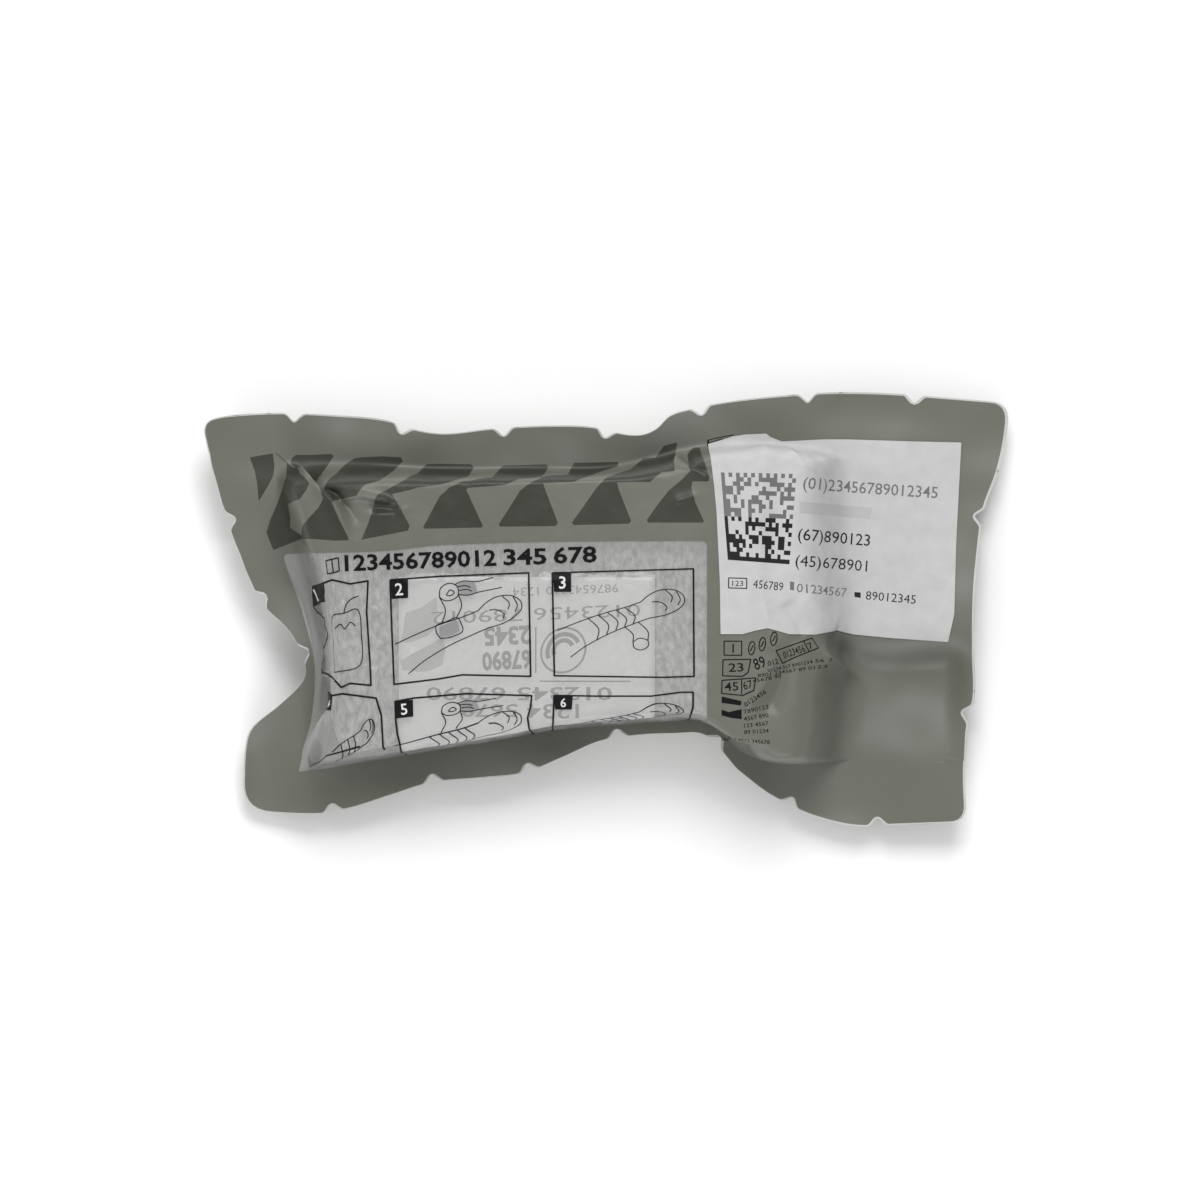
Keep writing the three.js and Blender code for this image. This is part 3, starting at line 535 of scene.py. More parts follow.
def pucker_height(x, y):
    total = np.zeros_like(x)
    for patch in PUCKERS:
        middle = px_to_plan([patch["px"]])[0]
        dx, dy = x - middle[0], y - middle[1]
        along = dx * math.sin(patch["turn"]) - dy * math.cos(patch["turn"])
        across = dx * math.cos(patch["turn"]) + dy * math.sin(patch["turn"])
        reach = np.exp(-(along / patch["along"]) ** 2 - (across / patch["across"]) ** 2)
        total += PUCKER_HEIGHT * reach * np.sin(2 * np.pi * across / PUCKER_PITCH)
    return total


# Fine relief of the front film: kind, seed, size, height on the printed film, and what the window adds to it
RELIEF = {
    "wall": (creased, 21, 13, 0.12, 0.2),
    "swell": (waves, 22, 9, 0.05, 0.05),
    "crinkle": (creased, 23, 6.5, 0.02, 0.1),
    "fine": (waves, 24, 2.3, 0.01, 0.06),
}

# The window film steps down beside the pad, over a soft width. The window's relief fades in a little inside
# its border, in column and row numbers.
PAD_STEP = 0.75
STEP_WIDTH = 0.8
WINDOW_INSET = 0.08
WINDOW_FADE = 0.05
PAD_WEST = ROLL_CENTRE_X + PAD_MIDDLE * ROLL_LENGTH / 2 - PAD_LENGTH / 2
PAD_EAST = PAD_WEST + PAD_LENGTH
PAD_NORTH_Y = ROLL_CENTRE_Y + PAD_NORTH * ROLL_WIDTH / 2


def front_relief(c, r, x, y, a, b):
    """What creases, puckers and the pad's own edge add to the front film along its normal."""
    share = rise(c) * rise(r)
    free = np.minimum(1, 4 * share)
    top = share ** 3
    clear = in_window(c, r)

    def layer(name, where):
        kind, seed, size, printed, more = RELIEF[name]
        return where * (printed + more * clear) * kind(a, b, seed, size)

    height = crease_height(a, b) * free
    height += layer("wall", 4 * share * (1 - share))
    height += layer("swell", free)
    height += layer("crinkle", top) * crinkle_mask(x, y)
    height += layer("fine", top) * crinkle_mask(x, y)
    height -= top * PAD_STEP * pad_outside(x, y) * clear
    height += pucker_height(x, y)
    return height


def soft_step(inside, width):
    """1 well inside a border, 0 well outside it."""
    return 0.5 + 0.5 * np.tanh(inside / width)


def pad_outside(x, y):
    """0 over the pad, 1 beside it, with a soft step between."""
    return soft_step(np.maximum(np.maximum(PAD_WEST - x, x - PAD_EAST), y - PAD_NORTH_Y), STEP_WIDTH)


def in_window(c, r):
    """1 inside the clear window, 0 on the printed film, with a soft step between."""
    inside = np.minimum(np.minimum(c - 1, 3 - c), np.minimum(r - 1, 3 - r))
    return soft_step(inside - WINDOW_INSET, WINDOW_FADE)


def crinkle_mask(x, y):
    return 0.25 + 0.75 * pad_outside(x, y)


def base_points(c, r, side):
    """Points of the front film's outer face (side 1) or the back film's (side -1), before any relief."""
    x, y = plan(c, r)
    seal = seal_height(x, y)
    share = rise(c) * rise(r)
    if side > 0:
        flange = seal + SEAL_GAP / 2 + FILM
        across = ((c - 3) / 3) ** 2 + ((r - 3) / 3) ** 2
        crown = CROWN * share * np.maximum(0, 1 - across)
        z = flange + (PLATEAU - flange) * share + crown
    else:
        z = (seal - SEAL_GAP / 2 - FILM) * (1 - share ** BACK_LEAD)
    return np.stack([x, y, z], -1)


BACK_CRINKLE = {"height": 0.3, "seed": 31, "size": 11}


def film_points(flat, side, lifts):
    """The film's points over flat places, at several distances along its outward normal."""
    c, r = from_flat(flat)
    step = 0.004
    held_c, held_r = np.clip(c, step, 6 - step), np.clip(r, step, 6 - step)
    along = base_points(held_c + step, r, side) - base_points(held_c - step, r, side)
    across = base_points(c, held_r + step, side) - base_points(c, held_r - step, side)
    normal = np.cross(along, across) * side
    normal /= np.linalg.norm(normal, axis=1)[:, None]
    points = base_points(c, r, side)
    a, b = flat.T
    if side > 0:
        height = front_relief(c, r, points[:, 0], points[:, 1], a, b)
    else:
        share = rise(c) * rise(r)
        crinkle = creased(a, b, BACK_CRINKLE["seed"], BACK_CRINKLE["size"])
        height = BACK_CRINKLE["height"] * share * (1 - share) * 4 * crinkle
    return [points + normal * (height + lift)[:, None] for lift in lifts]


# The pouch's outline with its notches and corners, in the flat print

# The distance between points of the cut edge, and the room between them and a notch's mouth. Each side is
# worked out from many samples, and each corner is a curve of a few points.
EDGE_STEP = 0.8
MOUTH_ROOM = 0.2
EDGE_SAMPLES = 1201
CORNER_POINTS = 8


def edge_line(points, axis, shares, first, last_reach):
    """One side of the outline with its notches, from many points along it, between its two corners."""
    length = np.concatenate([[0], np.cumsum(np.hypot(*(points[1:] - points[:-1]).T))])
    half = HALF_LENGTH if axis == 0 else HALF_WIDTH
    centres = [length[np.argmin(np.abs(points[:, axis] / half - share))] for share in shares]

    def at(s):
        return np.array([np.interp(s, length, points[:, 0]), np.interp(s, length, points[:, 1])])

    last = length[-1] - last_reach
    mouth = NOTCH_PROFILE[-1][0] + MOUTH_ROOM
    even = [*np.arange(first, last, EDGE_STEP), last]
    stations = [(s, None, 0) for s in even if all(abs(s - centre) > mouth for centre in centres)]
    for centre in centres:
        stations += [(centre + x, centre, depth) for x, depth in NOTCH_PROFILE]
    line = []
    for s, centre, depth in sorted(stations, key=lambda station: station[0]):
        point = at(s)
        if centre is not None:
            along = at(centre + 1) - at(centre - 1)
            along /= np.linalg.norm(along)
            point = point + depth * np.array([-along[1], along[0]])
        line.append(point)
    return line


def outline_in_plan():
    """The pouch's cut edge, from its south-west corner along the south side and on."""
    n = np.linspace(0, 6, EDGE_SAMPLES)
    low, high = np.zeros_like(n), np.full_like(n, 6.0)
    ways = {
        "south": (plan(n, low), 0),
        "east": (plan(high, n), 1),
        "north": (plan(6 - n, high), 0),
        "west": (plan(low, 6 - n), 1),
    }
    reaches = list(CORNER_REACH.values())
    lines, corners = [], []
    for (side, (places, axis)), first, last in zip(ways.items(), reaches, [*reaches[1:], reaches[0]]):
        points = np.stack(places, -1)
        lines.append(edge_line(points, axis, NOTCHES[side], first, last))
        corners.append(points[-1])
    outline = []
    for line, corner, after in zip(lines, corners, [*lines[1:], lines[0]]):
        outline += line
        for t in np.linspace(0, 1, CORNER_POINTS)[1:-1]:
            outline.append(line[-1] * (1 - t) ** 2 + corner * 2 * t * (1 - t) + after[0] * t * t)
    return np.array(outline)


pouch_outline = plan_to_flat(outline_in_plan())


def rounded_rectangle(low, high, radii, turns=5):
    """A rectangle with a radius for each corner, from the north-east one to the west and on."""
    points = []
    corners = [(high[0], high[1], -1, -1), (low[0], high[1], 1, -1), (low[0], low[1], 1, 1),
               (high[0], low[1], -1, 1)]
    for quarter, ((corner_x, corner_y, to_x, to_y), radius) in enumerate(zip(corners, radii)):
        x, y = corner_x + to_x * radius, corner_y + to_y * radius
        for i in range(turns + 1):
            angle = (quarter + i / turns) * math.pi / 2
            points.append((x + radius * math.cos(angle), y + radius * math.sin(angle)))
    return np.array(points)


def dense(outline, step):
    """The outline with points added so that none of its sides is longer than a step."""
    points = []
    for p, q in zip(outline, np.roll(outline, -1, axis=0)):
        count = max(1, int(np.ceil(np.linalg.norm(q - p) / step)))
        points += [p + (q - p) * i / count for i in range(count)]
    return np.array(points)


def inset(outline, distance):
    """The outline drawn in by a distance, along the bisector at each of its points."""
    along = np.roll(outline, -1, axis=0) - np.roll(outline, 1, axis=0)
    along /= np.linalg.norm(along, axis=1)[:, None]
    return outline + distance * np.stack([-along[:, 1], along[:, 0]], -1)


window_low = np.array([COLUMN_MARKS[1], ROW_MARKS[1]], float)
window_high = np.array([COLUMN_MARKS[3], ROW_MARKS[3]], float)
WINDOW_CORNERS = [1.2, 1.6, 4.5, 2.0]
window_outline = dense(rounded_rectangle(window_low, window_high, WINDOW_CORNERS), 0.5)


# Print: areas of one ink each, in the flat print

# The longest sides, in pixels, of areas and strokes that are carried from the photograph onto the film
AREA_STEP = 6.0
STROKE_STEP = 4.0


class Print:
    """Areas and strokes on one piece of film, each with the number of the material that fills it.

    They are gathered in the photograph's pixels or in the flat print, and carried onto the film together.
    """

    def __init__(self, place=px_to_flat):
        self.items = []
        self.place = place

    def add(self, points, ink, width=None, px=False):
        self.items.append({"points": np.asarray(points, float), "ink": ink, "width": width, "px": px})

    def area(self, outline, ink):
        self.add(outline, ink)

    def stroke(self, path, width, ink):
        self.add(path, ink, width)

    def px_area(self, outline, ink):
        self.add(dense_line([*outline, outline[0]], AREA_STEP)[:-1], ink, px=True)

    def px_stroke(self, path, width, ink):
        self.add(dense_line(path, STROKE_STEP), ink, width, px=True)

    def outlines(self):
        placed = [item for item in self.items if item["px"]]
        if placed:
            flat = self.place(np.vstack([item["points"] for item in placed]))
            ends = np.cumsum([len(item["points"]) for item in placed])[:-1]
            for item, points in zip(placed, np.split(flat, ends)):
                item["points"] = points
                item["px"] = False
        found = []
        for item in self.items:
            if item["width"] is None:
                found.append((item["points"], item["ink"]))
            else:
                strokes = stroke_outlines(item["points"], item["width"])
                found += [(outline, item["ink"]) for outline in strokes]
        return found


def stroke_outlines(path, width):
    """A quad for each stretch of a stroke and a hexagon for each of its turns."""
    found = []
    turn = np.arange(6) * math.pi / 3
    hexagon = 0.5 * width * np.stack([np.cos(turn), np.sin(turn)], -1)
    for index, (p, q) in enumerate(zip(path[:-1], path[1:])):
        run = q - p
        length = np.linalg.norm(run)
        if length < 1e-6:
            continue
        side = np.array([-run[1], run[0]]) / length * width / 2
        found.append(np.array([p - side, q - side, q + side, p + side]))
        if index > 0:
            found.append(p + hexagon)
    return found


def dense_line(points, step):
    """A path with points added so that none of its stretches is longer than a step."""
    points = np.asarray(points, float)
    out = [points[0]]
    for p, q in zip(points[:-1], points[1:]):
        count = max(1, int(np.ceil(np.linalg.norm(q - p) / step)))
        out += [p + (q - p) * i / count for i in range(1, count + 1)]
    return np.array(out)


DIGIT_HEIGHT = 0.7


def glyph_faces(text, weight):
    """The faces of plain numbers in Blender's own type, with digits 1 high, and the line's width."""
    data = bpy.data.curves.new("type", "FONT")
    data.body = text
    data.resolution_u = 2
    data.offset = weight
    holder = bpy.data.objects.new("type", data)
    mesh = holder.to_mesh()
    points = np.array([vertex.co[:2] for vertex in mesh.vertices])
    faces = [list(polygon.vertices) for polygon in mesh.polygons]
    holder.to_mesh_clear()
    bpy.data.objects.remove(holder)
    bpy.data.curves.remove(data)
    low, high = points.min(0), points.max(0)
    points = (points - [low[0], 0]) / DIGIT_HEIGHT
    return points, faces, (high[0] - low[0]) / DIGIT_HEIGHT


def px_number(sheet, text, start, end, height, ink, weight=0.0, natural=False):
    """Numbers along a line in the photograph from start to end, so many pixels high.

    They fill the line, or keep their natural width in its middle.
    """
    points, faces, width = glyph_faces(text, weight)
    start, end = np.array(start, float), np.array(end, float)
    along = end - start
    if natural:
        share = width * height / np.linalg.norm(along)
        start, along = start + along * (1 - share) / 2, along * share
    up = np.array([along[1], -along[0]]) / np.linalg.norm(along) * height
    px = start + points[:, :1] / width * along + points[:, 1:] * up
    for face in faces:
        sheet.add(px[face], ink, px=True)


# Meshes

def signed_area(outline):
    x, y = outline[:, 0], outline[:, 1]
    return 0.5 * np.sum(x * np.roll(y, -1) - np.roll(x, -1) * y)


def inside_outline(points, outline):
    """Which points lie inside an outline, by counting the sides that a line from each one crosses."""
    low, high = outline.min(0), outline.max(0)
    near = np.flatnonzero(((points >= low) & (points <= high)).all(1))
    x, y = points[near].T
    odd = np.zeros(len(near), bool)
    for (x1, y1), (x2, y2) in zip(outline, np.roll(outline, -1, axis=0)):
        if y1 == y2:
            continue
        crosses = (y1 > y) != (y2 > y)
        odd ^= crosses & (x < x1 + (y - y1) * (x2 - x1) / (y2 - y1))
    return near[odd]


def on_bulge(flat):
    """Which flat places lie on the bulge, inside the films' feet."""
    return ((flat[:, 0] > COLUMN_MARKS[1] - 1) & (flat[:, 0] < COLUMN_MARKS[5] + 1)
            & (flat[:, 1] > ROW_MARKS[1] - 1) & (flat[:, 1] < ROW_MARKS[5] + 1))


def spread_points(low, high, step):
    """A grid of staggered rows between two corners."""
    points = []
    for row, y in enumerate(np.arange(low[1] + step / 2, high[1], step * 0.87)):
        x = np.arange(low[0] + (step / 2 if row % 2 else step), high[0], step)
        points.append(np.stack([x, np.full_like(x, y)], -1))
    return np.vstack(points)


def covered(points, outline, holes):
    """Which points lie on a sheet: inside its outline and in none of its holes."""
    kept = np.zeros(len(points), bool)
    kept[inside_outline(points, outline)] = True
    for hole in holes:
        kept[inside_outline(points, hole)] = False
    return kept


def filling_points(fixed, outline, holes, step, flange_step):
    """Staggered points over a sheet, clear of those that are fixed, with a wider step off the bulge."""
    tree = plane_tree(fixed)
    free = spread_points(outline.min(0), outline.max(0), step)
    if flange_step:
        wide = spread_points(outline.min(0), outline.max(0), flange_step)
        free = np.vstack([free[on_bulge(free)], wide[~on_bulge(wide)]])
    free = free[covered(free, outline, holes)]
    return [(x, y) for x, y in free if tree.find((x, y, 0))[2] > CLEAR_SHARE * step]


def lone_sides(triangles, count):
    """The sides of each triangle, and which of them have no neighbour."""
    sides = np.stack([triangles, np.roll(triangles, -1, axis=1)], -1).astype(np.int64)
    keys = sides[..., 0] * count + sides[..., 1]
    twins = sides[..., 1] * count + sides[..., 0]
    return sides, ~np.isin(twins, keys)


# Limits of the flat meshes: the smallest area of print, the distance at which points merge, twice the area
# under which a triangle at the border is peeled off, and how clear of fixed points the others stay, in steps
SMALLEST_PRINT = 1e-4
MERGE = 2e-3
SLIVER = 0.004
CLEAR_SHARE = 0.6


def triangulate(outline, holes, sheet, step, flange_step=None):
    """Triangles over an outline, with its holes left out and the print's outlines as edges.

    With a flange's step, only the bulge has the fine one.
    """
    print_areas = [(area, ink) for area, ink in sheet.outlines() if abs(signed_area(area)) > SMALLEST_PRINT]
    points, edges = [], []
    for area in [outline, *holes, *(area for area, _ in print_areas)]:
        area = dense(area, step)
        first, count = len(points), len(area)
        edges += [(first + i, first + (i + 1) % count) for i in range(count)]
        points.extend(map(tuple, area))
    points += filling_points(points, outline, holes, step, flange_step)
    result = delaunay_2d_cdt([Vector(point) for point in points], edges, [], 0, MERGE, False)
    flat = np.array([tuple(vert) for vert in result[0]])
    triangles = np.array(result[2])
    triangles = triangles[covered(flat[triangles].mean(1), outline, holes)]
    middles = flat[triangles].mean(1)
    inks = np.zeros(len(triangles), int)
    for area, ink in print_areas:
        inks[inside_outline(middles, area)] = ink
    p, q, t = (flat[triangles[:, i]] for i in range(3))
    turn = (q - p)[:, 0] * (t - p)[:, 1] - (q - p)[:, 1] * (t - p)[:, 0]
    triangles[turn < 0] = triangles[turn < 0][:, ::-1]
    thin = np.abs(turn) < SLIVER
    while True:
        loose = thin & (lone_sides(triangles, len(flat))[1].sum(1) > 1)
        if not loose.any():
            break
        triangles, inks, thin = triangles[~loose], inks[~loose], thin[~loose]
    used, index = np.unique(triangles, return_inverse=True)
    return flat[used], index.reshape(triangles.shape), inks


def new_piece(name, points, faces, materials):
    """A smoothly shaded object from points in the source's own millimetres."""
    mesh = bpy.data.meshes.new(name)
    mesh.from_pydata(((points + SHIFT) * MM).tolist(), [], faces)
    mesh.polygons.foreach_set("use_smooth", np.ones(len(faces), bool))
    for material in materials:
        mesh.materials.append(material)
    piece = bpy.data.objects.new(name, mesh)
    bpy.context.collection.objects.link(piece)
    return piece


def shell_mesh(name, upper, lower, triangles, slots, rim_slot, materials):
    """A closed thin shell from an upper and a lower sheet of the same triangles, with sharp rims."""
    count = len(upper)
    sides, lone = lone_sides(triangles, count)
    border = sides.transpose(1, 0, 2)[lone.T]
    rim = np.stack([border[:, 1], border[:, 0], border[:, 0] + count, border[:, 1] + count], -1)
    faces = triangles.tolist() + (triangles[:, ::-1] + count).tolist() + rim.tolist()
    piece = new_piece(name, np.vstack([upper, lower]), faces, materials)
    numbers = np.concatenate([slots, np.zeros(len(triangles)), np.full(len(rim), rim_slot)])
    piece.data.polygons.foreach_set("material_index", numbers.astype(np.int32))

    def keys(pairs):
        return np.sort(pairs, axis=1).astype(np.int64) @ [2 * count, 1]

    ends = np.empty(len(piece.data.edges) * 2, np.int32)
    piece.data.edges.foreach_get("vertices", ends)
    sharp = np.isin(keys(ends.reshape(-1, 2)), keys(np.vstack([border, border + count])))
    attribute = piece.data.attributes.new("sharp_edge", "BOOLEAN", "EDGE")
    attribute.data.foreach_set("value", sharp)
    return piece


# Materials

def principled(name, colour, roughness):
    material = bpy.data.materials.new(name)
    material.use_nodes = True
    shader = material.node_tree.nodes["Principled BSDF"]
    shader.inputs["Base Color"].default_value = (*colour, 1)
    shader.inputs["Roughness"].default_value = roughness
    return material, shader


def noise(material, scale, detail=3.0, stretch=(1, 1, 1)):
    nodes, links = material.node_tree.nodes, material.node_tree.links
    place = nodes.new("ShaderNodeTexCoord")
    mapping = nodes.new("ShaderNodeMapping")
    mapping.inputs["Scale"].default_value = stretch
    texture = nodes.new("ShaderNodeTexNoise")
    texture.inputs["Scale"].default_value = scale
    texture.inputs["Detail"].default_value = detail
    links.new(place.outputs["Object"], mapping.inputs["Vector"])
    links.new(mapping.outputs["Vector"], texture.inputs["Vector"])
    return texture.outputs["Fac"]


def ramp(material, fac, stops, socket):
    node = material.node_tree.nodes.new("ShaderNodeValToRGB")
    elements = node.color_ramp.elements
    for element, (place, colour) in zip(elements, (stops[0], stops[-1])):
        element.position = place
        element.color = (*colour, 1)
    for place, colour in stops[1:-1]:
        elements.new(place).color = (*colour, 1)
    material.node_tree.links.new(fac, node.inputs["Fac"])
    material.node_tree.links.new(node.outputs["Color"], socket)


def bump(material, shader, fac, distance, strength=1.0):
    node = material.node_tree.nodes.new("ShaderNodeBump")
    node.inputs["Distance"].default_value = distance * MM
    node.inputs["Strength"].default_value = strength
    material.node_tree.links.new(fac, node.inputs["Height"])
    material.node_tree.links.new(node.outputs["Normal"], shader.inputs["Normal"])


def grey(value, warm=0.0):
    """A linear colour from an 8-bit grey of the photograph, warmer or cooler by so many steps."""
    def linear(level):
        level = level / 255
        return level / 12.92 if level <= 0.04045 else ((level + 0.055) / 1.055) ** 2.4
    return (linear(value + warm * 0.7), linear(value + warm), linear(value - warm))


def film_material(name, light, dark, roughness, specular=0.5):
    material, shader = principled(name, light, roughness)
    shader.inputs["Specular IOR Level"].default_value = specular
    ramp(material, noise(material, 26, 3), [(0.3, dark), (0.7, light)], shader.inputs["Base Color"])
    bump(material, shader, noise(material, 900, 2), 0.02, 0.5)
    return material


FILM_TONE = {"light": grey(100, 4), "dark": grey(93, 5)}
film_finish = film_material("printed_film", FILM_TONE["light"], FILM_TONE["dark"], 0.46, 0.45)
back_finish = film_material("back_film", FILM_TONE["light"], FILM_TONE["dark"], 0.46, 0.45)
bar_finish = film_material("bar_print", grey(53, 4), grey(46, 4), 0.44, 0.35)
# A light grey rim along the pouch's cut edge: a band on the front film's top face, and the rims of both films
light_rim_colour = film_material("light_rim", grey(190, 1), grey(178, 1), 0.5)
ink_finish = film_material("black_print", grey(14), grey(10), 0.5, 0.15)
white_finish = film_material("white_print", grey(214), grey(206), 0.5, 0.3)
shade_finish = film_material("shaded_print", grey(142), grey(130), 0.5, 0.3)
clear_finish, clear_shader = principled("clear_film", grey(203, 1), 0.18)
clear_shader.inputs["Alpha"].default_value = 0.27
bump(clear_finish, clear_shader, noise(clear_finish, 420, 3), 0.06, 0.6)
paper_finish, paper_shader = principled("label_paper", grey(188), 0.75)
ramp(paper_finish, noise(paper_finish, 300, 5), [(0.3, grey(181)), (0.7, grey(189))],
     paper_shader.inputs["Base Color"])
bump(paper_finish, paper_shader, noise(paper_finish, 2600, 3), 0.015, 0.5)
thermal_finish = film_material("thermal_print", grey(38), grey(28), 0.7, 0.2)
faded_finish = film_material("faded_print", grey(124), grey(102), 0.7, 0.2)
block_finish = film_material("block_print", grey(178), grey(172), 0.7)


# The films' print

BARS = [
    [(249, 457), (272, 453), (273.5, 465), (272.5, 475), (268, 484.5), (261, 496), (258, 501), (256.5, 484.5),
     (254, 471)],
    [(273.5, 452), (276, 453), (286, 462), (294.5, 469.5), (301, 478), (311, 487), (307.5, 491), (301, 499.5),
     (287, 504.5), (290, 518), (289.5, 527.5), (294.5, 533.5), (301, 539), (297.5, 540), (272.5, 550),
     (268, 539), (265.5, 532.5), (269.5, 519.5), (276, 504.5), (281, 491), (285.5, 478), (286, 463)],
    [(291, 458), (295, 454.5), (311, 454.5), (331, 453.5), (333, 456), (326, 466.5), (320, 474.5),
     (311, 479.5), (306, 478.5), (298, 471), (289.5, 463)],
    [(322, 491), (324.5, 499.5), (319.5, 508.5), (311, 517.5), (303.5, 526), (301, 536), (302.5, 539),
     (317.5, 539.5), (336, 541), (350, 540.5), (349, 536.5), (341, 521), (336, 509.5), (333.5, 503),
     (336, 501), (358.5, 496), (361, 491), (366, 485.5), (381, 481), (394, 469.5), (402.5, 461),
     (400.5, 457), (382.5, 456), (361, 457), (354, 458), (344, 464.5), (336, 473), (326, 483), (321, 489.5)],
    [(362.5, 540), (369, 524.5), (374, 509.5), (376, 499.5), (379, 495), (391, 488.5), (407, 479.5),
     (419, 471), (426, 464), (440, 463.4), (471, 464), (473.5, 467), (467, 477), (455, 481), (440.5, 485.5),
     (419, 488), (409, 491), (393, 494.5), (402.5, 511), (410.5, 526), (409, 531)],
    [(424, 527.5), (440.5, 496.5), (451, 487.5), (463, 482), (492, 477.5), (501.5, 466), (505, 465),
     (546.5, 464), (548, 467), (542, 477), (518.5, 479.5), (506, 485.5), (468, 488.5), (467, 490.5),
     (483.5, 526.5), (482, 528), (425.5, 529)],
    [(499, 525), (511.5, 505.5), (520.5, 491), (533, 482), (543.5, 477), (567.5, 474), (574, 462.5),
     (618.5, 461.5), (617.5, 466), (595.5, 473), (574, 482.5), (543.5, 484), (544.5, 487.5), (558, 523),
     (556, 526.5), (500.5, 527)],
    [(572, 523), (584.5, 505.5), (595.5, 489.5), (606, 478.5), (618.5, 473), (631, 469), (643.5, 458),
     (656, 457), (664, 445.5), (677.5, 442), (675.5, 453.5), (674, 471.5), (661.5, 472.5), (650, 482.5),
     (617, 483), (618.5, 489.5), (631, 521.5), (629, 524), (574, 525.5)],
    [(646.5, 520.5), (657, 505.5), (668.5, 491), (681, 480.5), (690, 471.5), (687.5, 466), (687.5, 453.5),
     (693.5, 447), (700, 447), (704, 462.5), (709, 478.5), (708, 482), (692, 482), (691, 487.5),
     (694.5, 502), (703.5, 521.5), (702, 523), (648, 523)],
]
BAR_INK, LIGHT_RIM, BLACK_INK = 1, 2, 3

# The width of the light rim along the cut edge
LIGHT_RIM_WIDTH = 0.45
film_print = Print()
film_print.area(pouch_outline, LIGHT_RIM)
film_print.area(inset(pouch_outline, LIGHT_RIM_WIDTH), 0)
for bar in BARS:
    film_print.px_area(bar, BAR_INK)

# Small marks beside the window: plain boxes, rings, blocks and rows of plain numbers
MARK_LINE = 0.26
for box in (
    [(722.5, 659.5), (750, 659), (747.5, 672), (742, 676), (722, 675.5)],
    [(721.5, 680), (755, 677.5), (753, 690), (742, 695), (721, 693)],
    [(741, 679), (741, 694)],
    [(775, 650.5), (811.5, 638), (816, 647.5), (782, 663)],
    [(803.5, 641), (807.5, 651)],
    [(723.5, 641), (741, 641), (741, 655), (723.5, 655)],
):
    closed = [*box, box[0], box[1]] if len(box) > 2 else box
    film_print.px_stroke(closed, MARK_LINE, BLACK_INK)
for block in (
    [(721, 696), (741, 700.5), (740, 705), (721, 702.5)],
    [(721, 709), (728, 711.5), (741, 708.5), (741, 718.5), (731, 717.5), (721, 715)],
):
    film_print.px_area(block, BLACK_INK)
film_print.px_stroke([(708.4, 446), (708.4, 439.8), (718, 437.4), (734, 434.4)], 0.35, BLACK_INK)
film_print.px_stroke([(708.6, 442.6), (714, 441), (723, 438.2)], 0.35, BLACK_INK)
turn = np.linspace(0, 2 * np.pi, 17)
for middle_x, middle_y in ((751, 648), (761.5, 644), (773, 638.5)):
    ring = np.stack([middle_x + 3.2 * np.cos(turn), middle_y + 6.5 * np.sin(turn) - 1.5 * np.cos(turn)], -1)
    film_print.px_stroke(ring, MARK_LINE, BLACK_INK)
    dash = [(middle_x - 1.5, middle_y + 3), (middle_x + 1.5, middle_y - 3)]
    film_print.px_stroke(dash, MARK_LINE, BLACK_INK)
MARK_NUMBERS = [
    ("1", (729, 652.5), (736, 652.5), 9.0), ("23", (728, 671.5), (743, 671), 8.5),
    ("45", (724, 690.5), (738, 690), 8.5), ("67", (743.5, 689.5), (752.5, 687), 8.0),
    ("0123456", (784, 658.5), (805, 651), 7.0), ("7", (808, 649), (812, 647.5), 6.0),
    ("89", (755, 670), (766, 666), 11.5), ("012", (767.5, 666), (778, 663), 5.0),
    ("01234 567 8901234 56 7", (767, 672), (823, 660.5), 3.4),
    ("8901 234567 89 0123", (757, 677), (822, 667.5), 3.4),
    ("45678 90", (752, 682.5), (781, 677), 3.4), ("0123456", (745, 706.5), (766, 692.5), 4.6),
    ("7890123", (743.5, 713.5), (768, 708), 4.2), ("4567 890", (743.5, 720.5), (768, 716.5), 4.2),
    ("123 4567", (743.5, 727), (768, 724.5), 4.0), ("89 01234", (743.5, 733.5), (768, 732), 4.0),
    ("567 8 9012 345678", (721, 741), (769, 743.5), 3.8),
]
for text, start, end, height in MARK_NUMBERS:
    px_number(film_print, text, start, end, height, BLACK_INK, 0.01, natural=len(text) == 1)

# The window's print: six framed steps with plain numbers and simple drawings of wrapping a limb
INK, WHITE, SHADE = 1, 2, 3
FRAME_LINE = 0.42
DRAW_LINE = 0.24
window_print = Print()
FRAMES = [
    [[(311, 587.5), (324, 583), (333.5, 580), (351, 584), (369, 581), (367.7, 612), (371, 663), (372, 685),
      (351, 683), (342.5, 687), (333.5, 677), (321, 670), (323, 656), (325, 634), (322.5, 618),
      (312.5, 607)]],
    [[(391, 580), (440, 576.5), (529, 573), (531, 676), (463, 674.5), (440, 678.5), (395, 684),
      (392.7, 629)]],
    [[(552.5, 573), (693, 569), (693.6, 676), (663, 677), (554.6, 675.4)]],
    [[(326, 692), (334, 695), (343.6, 693.4), (377, 697.7), (382.3, 715), (384, 746), (386, 752)],
     [(361, 746), (325, 756.5), (309.5, 767), (308, 754.5), (316, 736), (327, 712), (326, 692)]],
    [[(403.5, 755), (398, 732), (396.5, 718), (396, 701), (414, 697.7), (467, 693.2), (532, 695.3),
      (531, 706), (528, 717), (529.3, 727.5), (533, 735.5)]],
    [[(553, 728.5), (554.3, 695), (597, 695.7), (651, 695.7), (681, 691.8), (692.7, 691.8), (692.7, 706),
      (687.3, 725)]],
]
for frame_lines, closed in zip(FRAMES, (True, True, True, False, False, False)):
    for line in frame_lines:
        window_print.px_stroke([*line, line[0]] if closed else line, FRAME_LINE, INK)

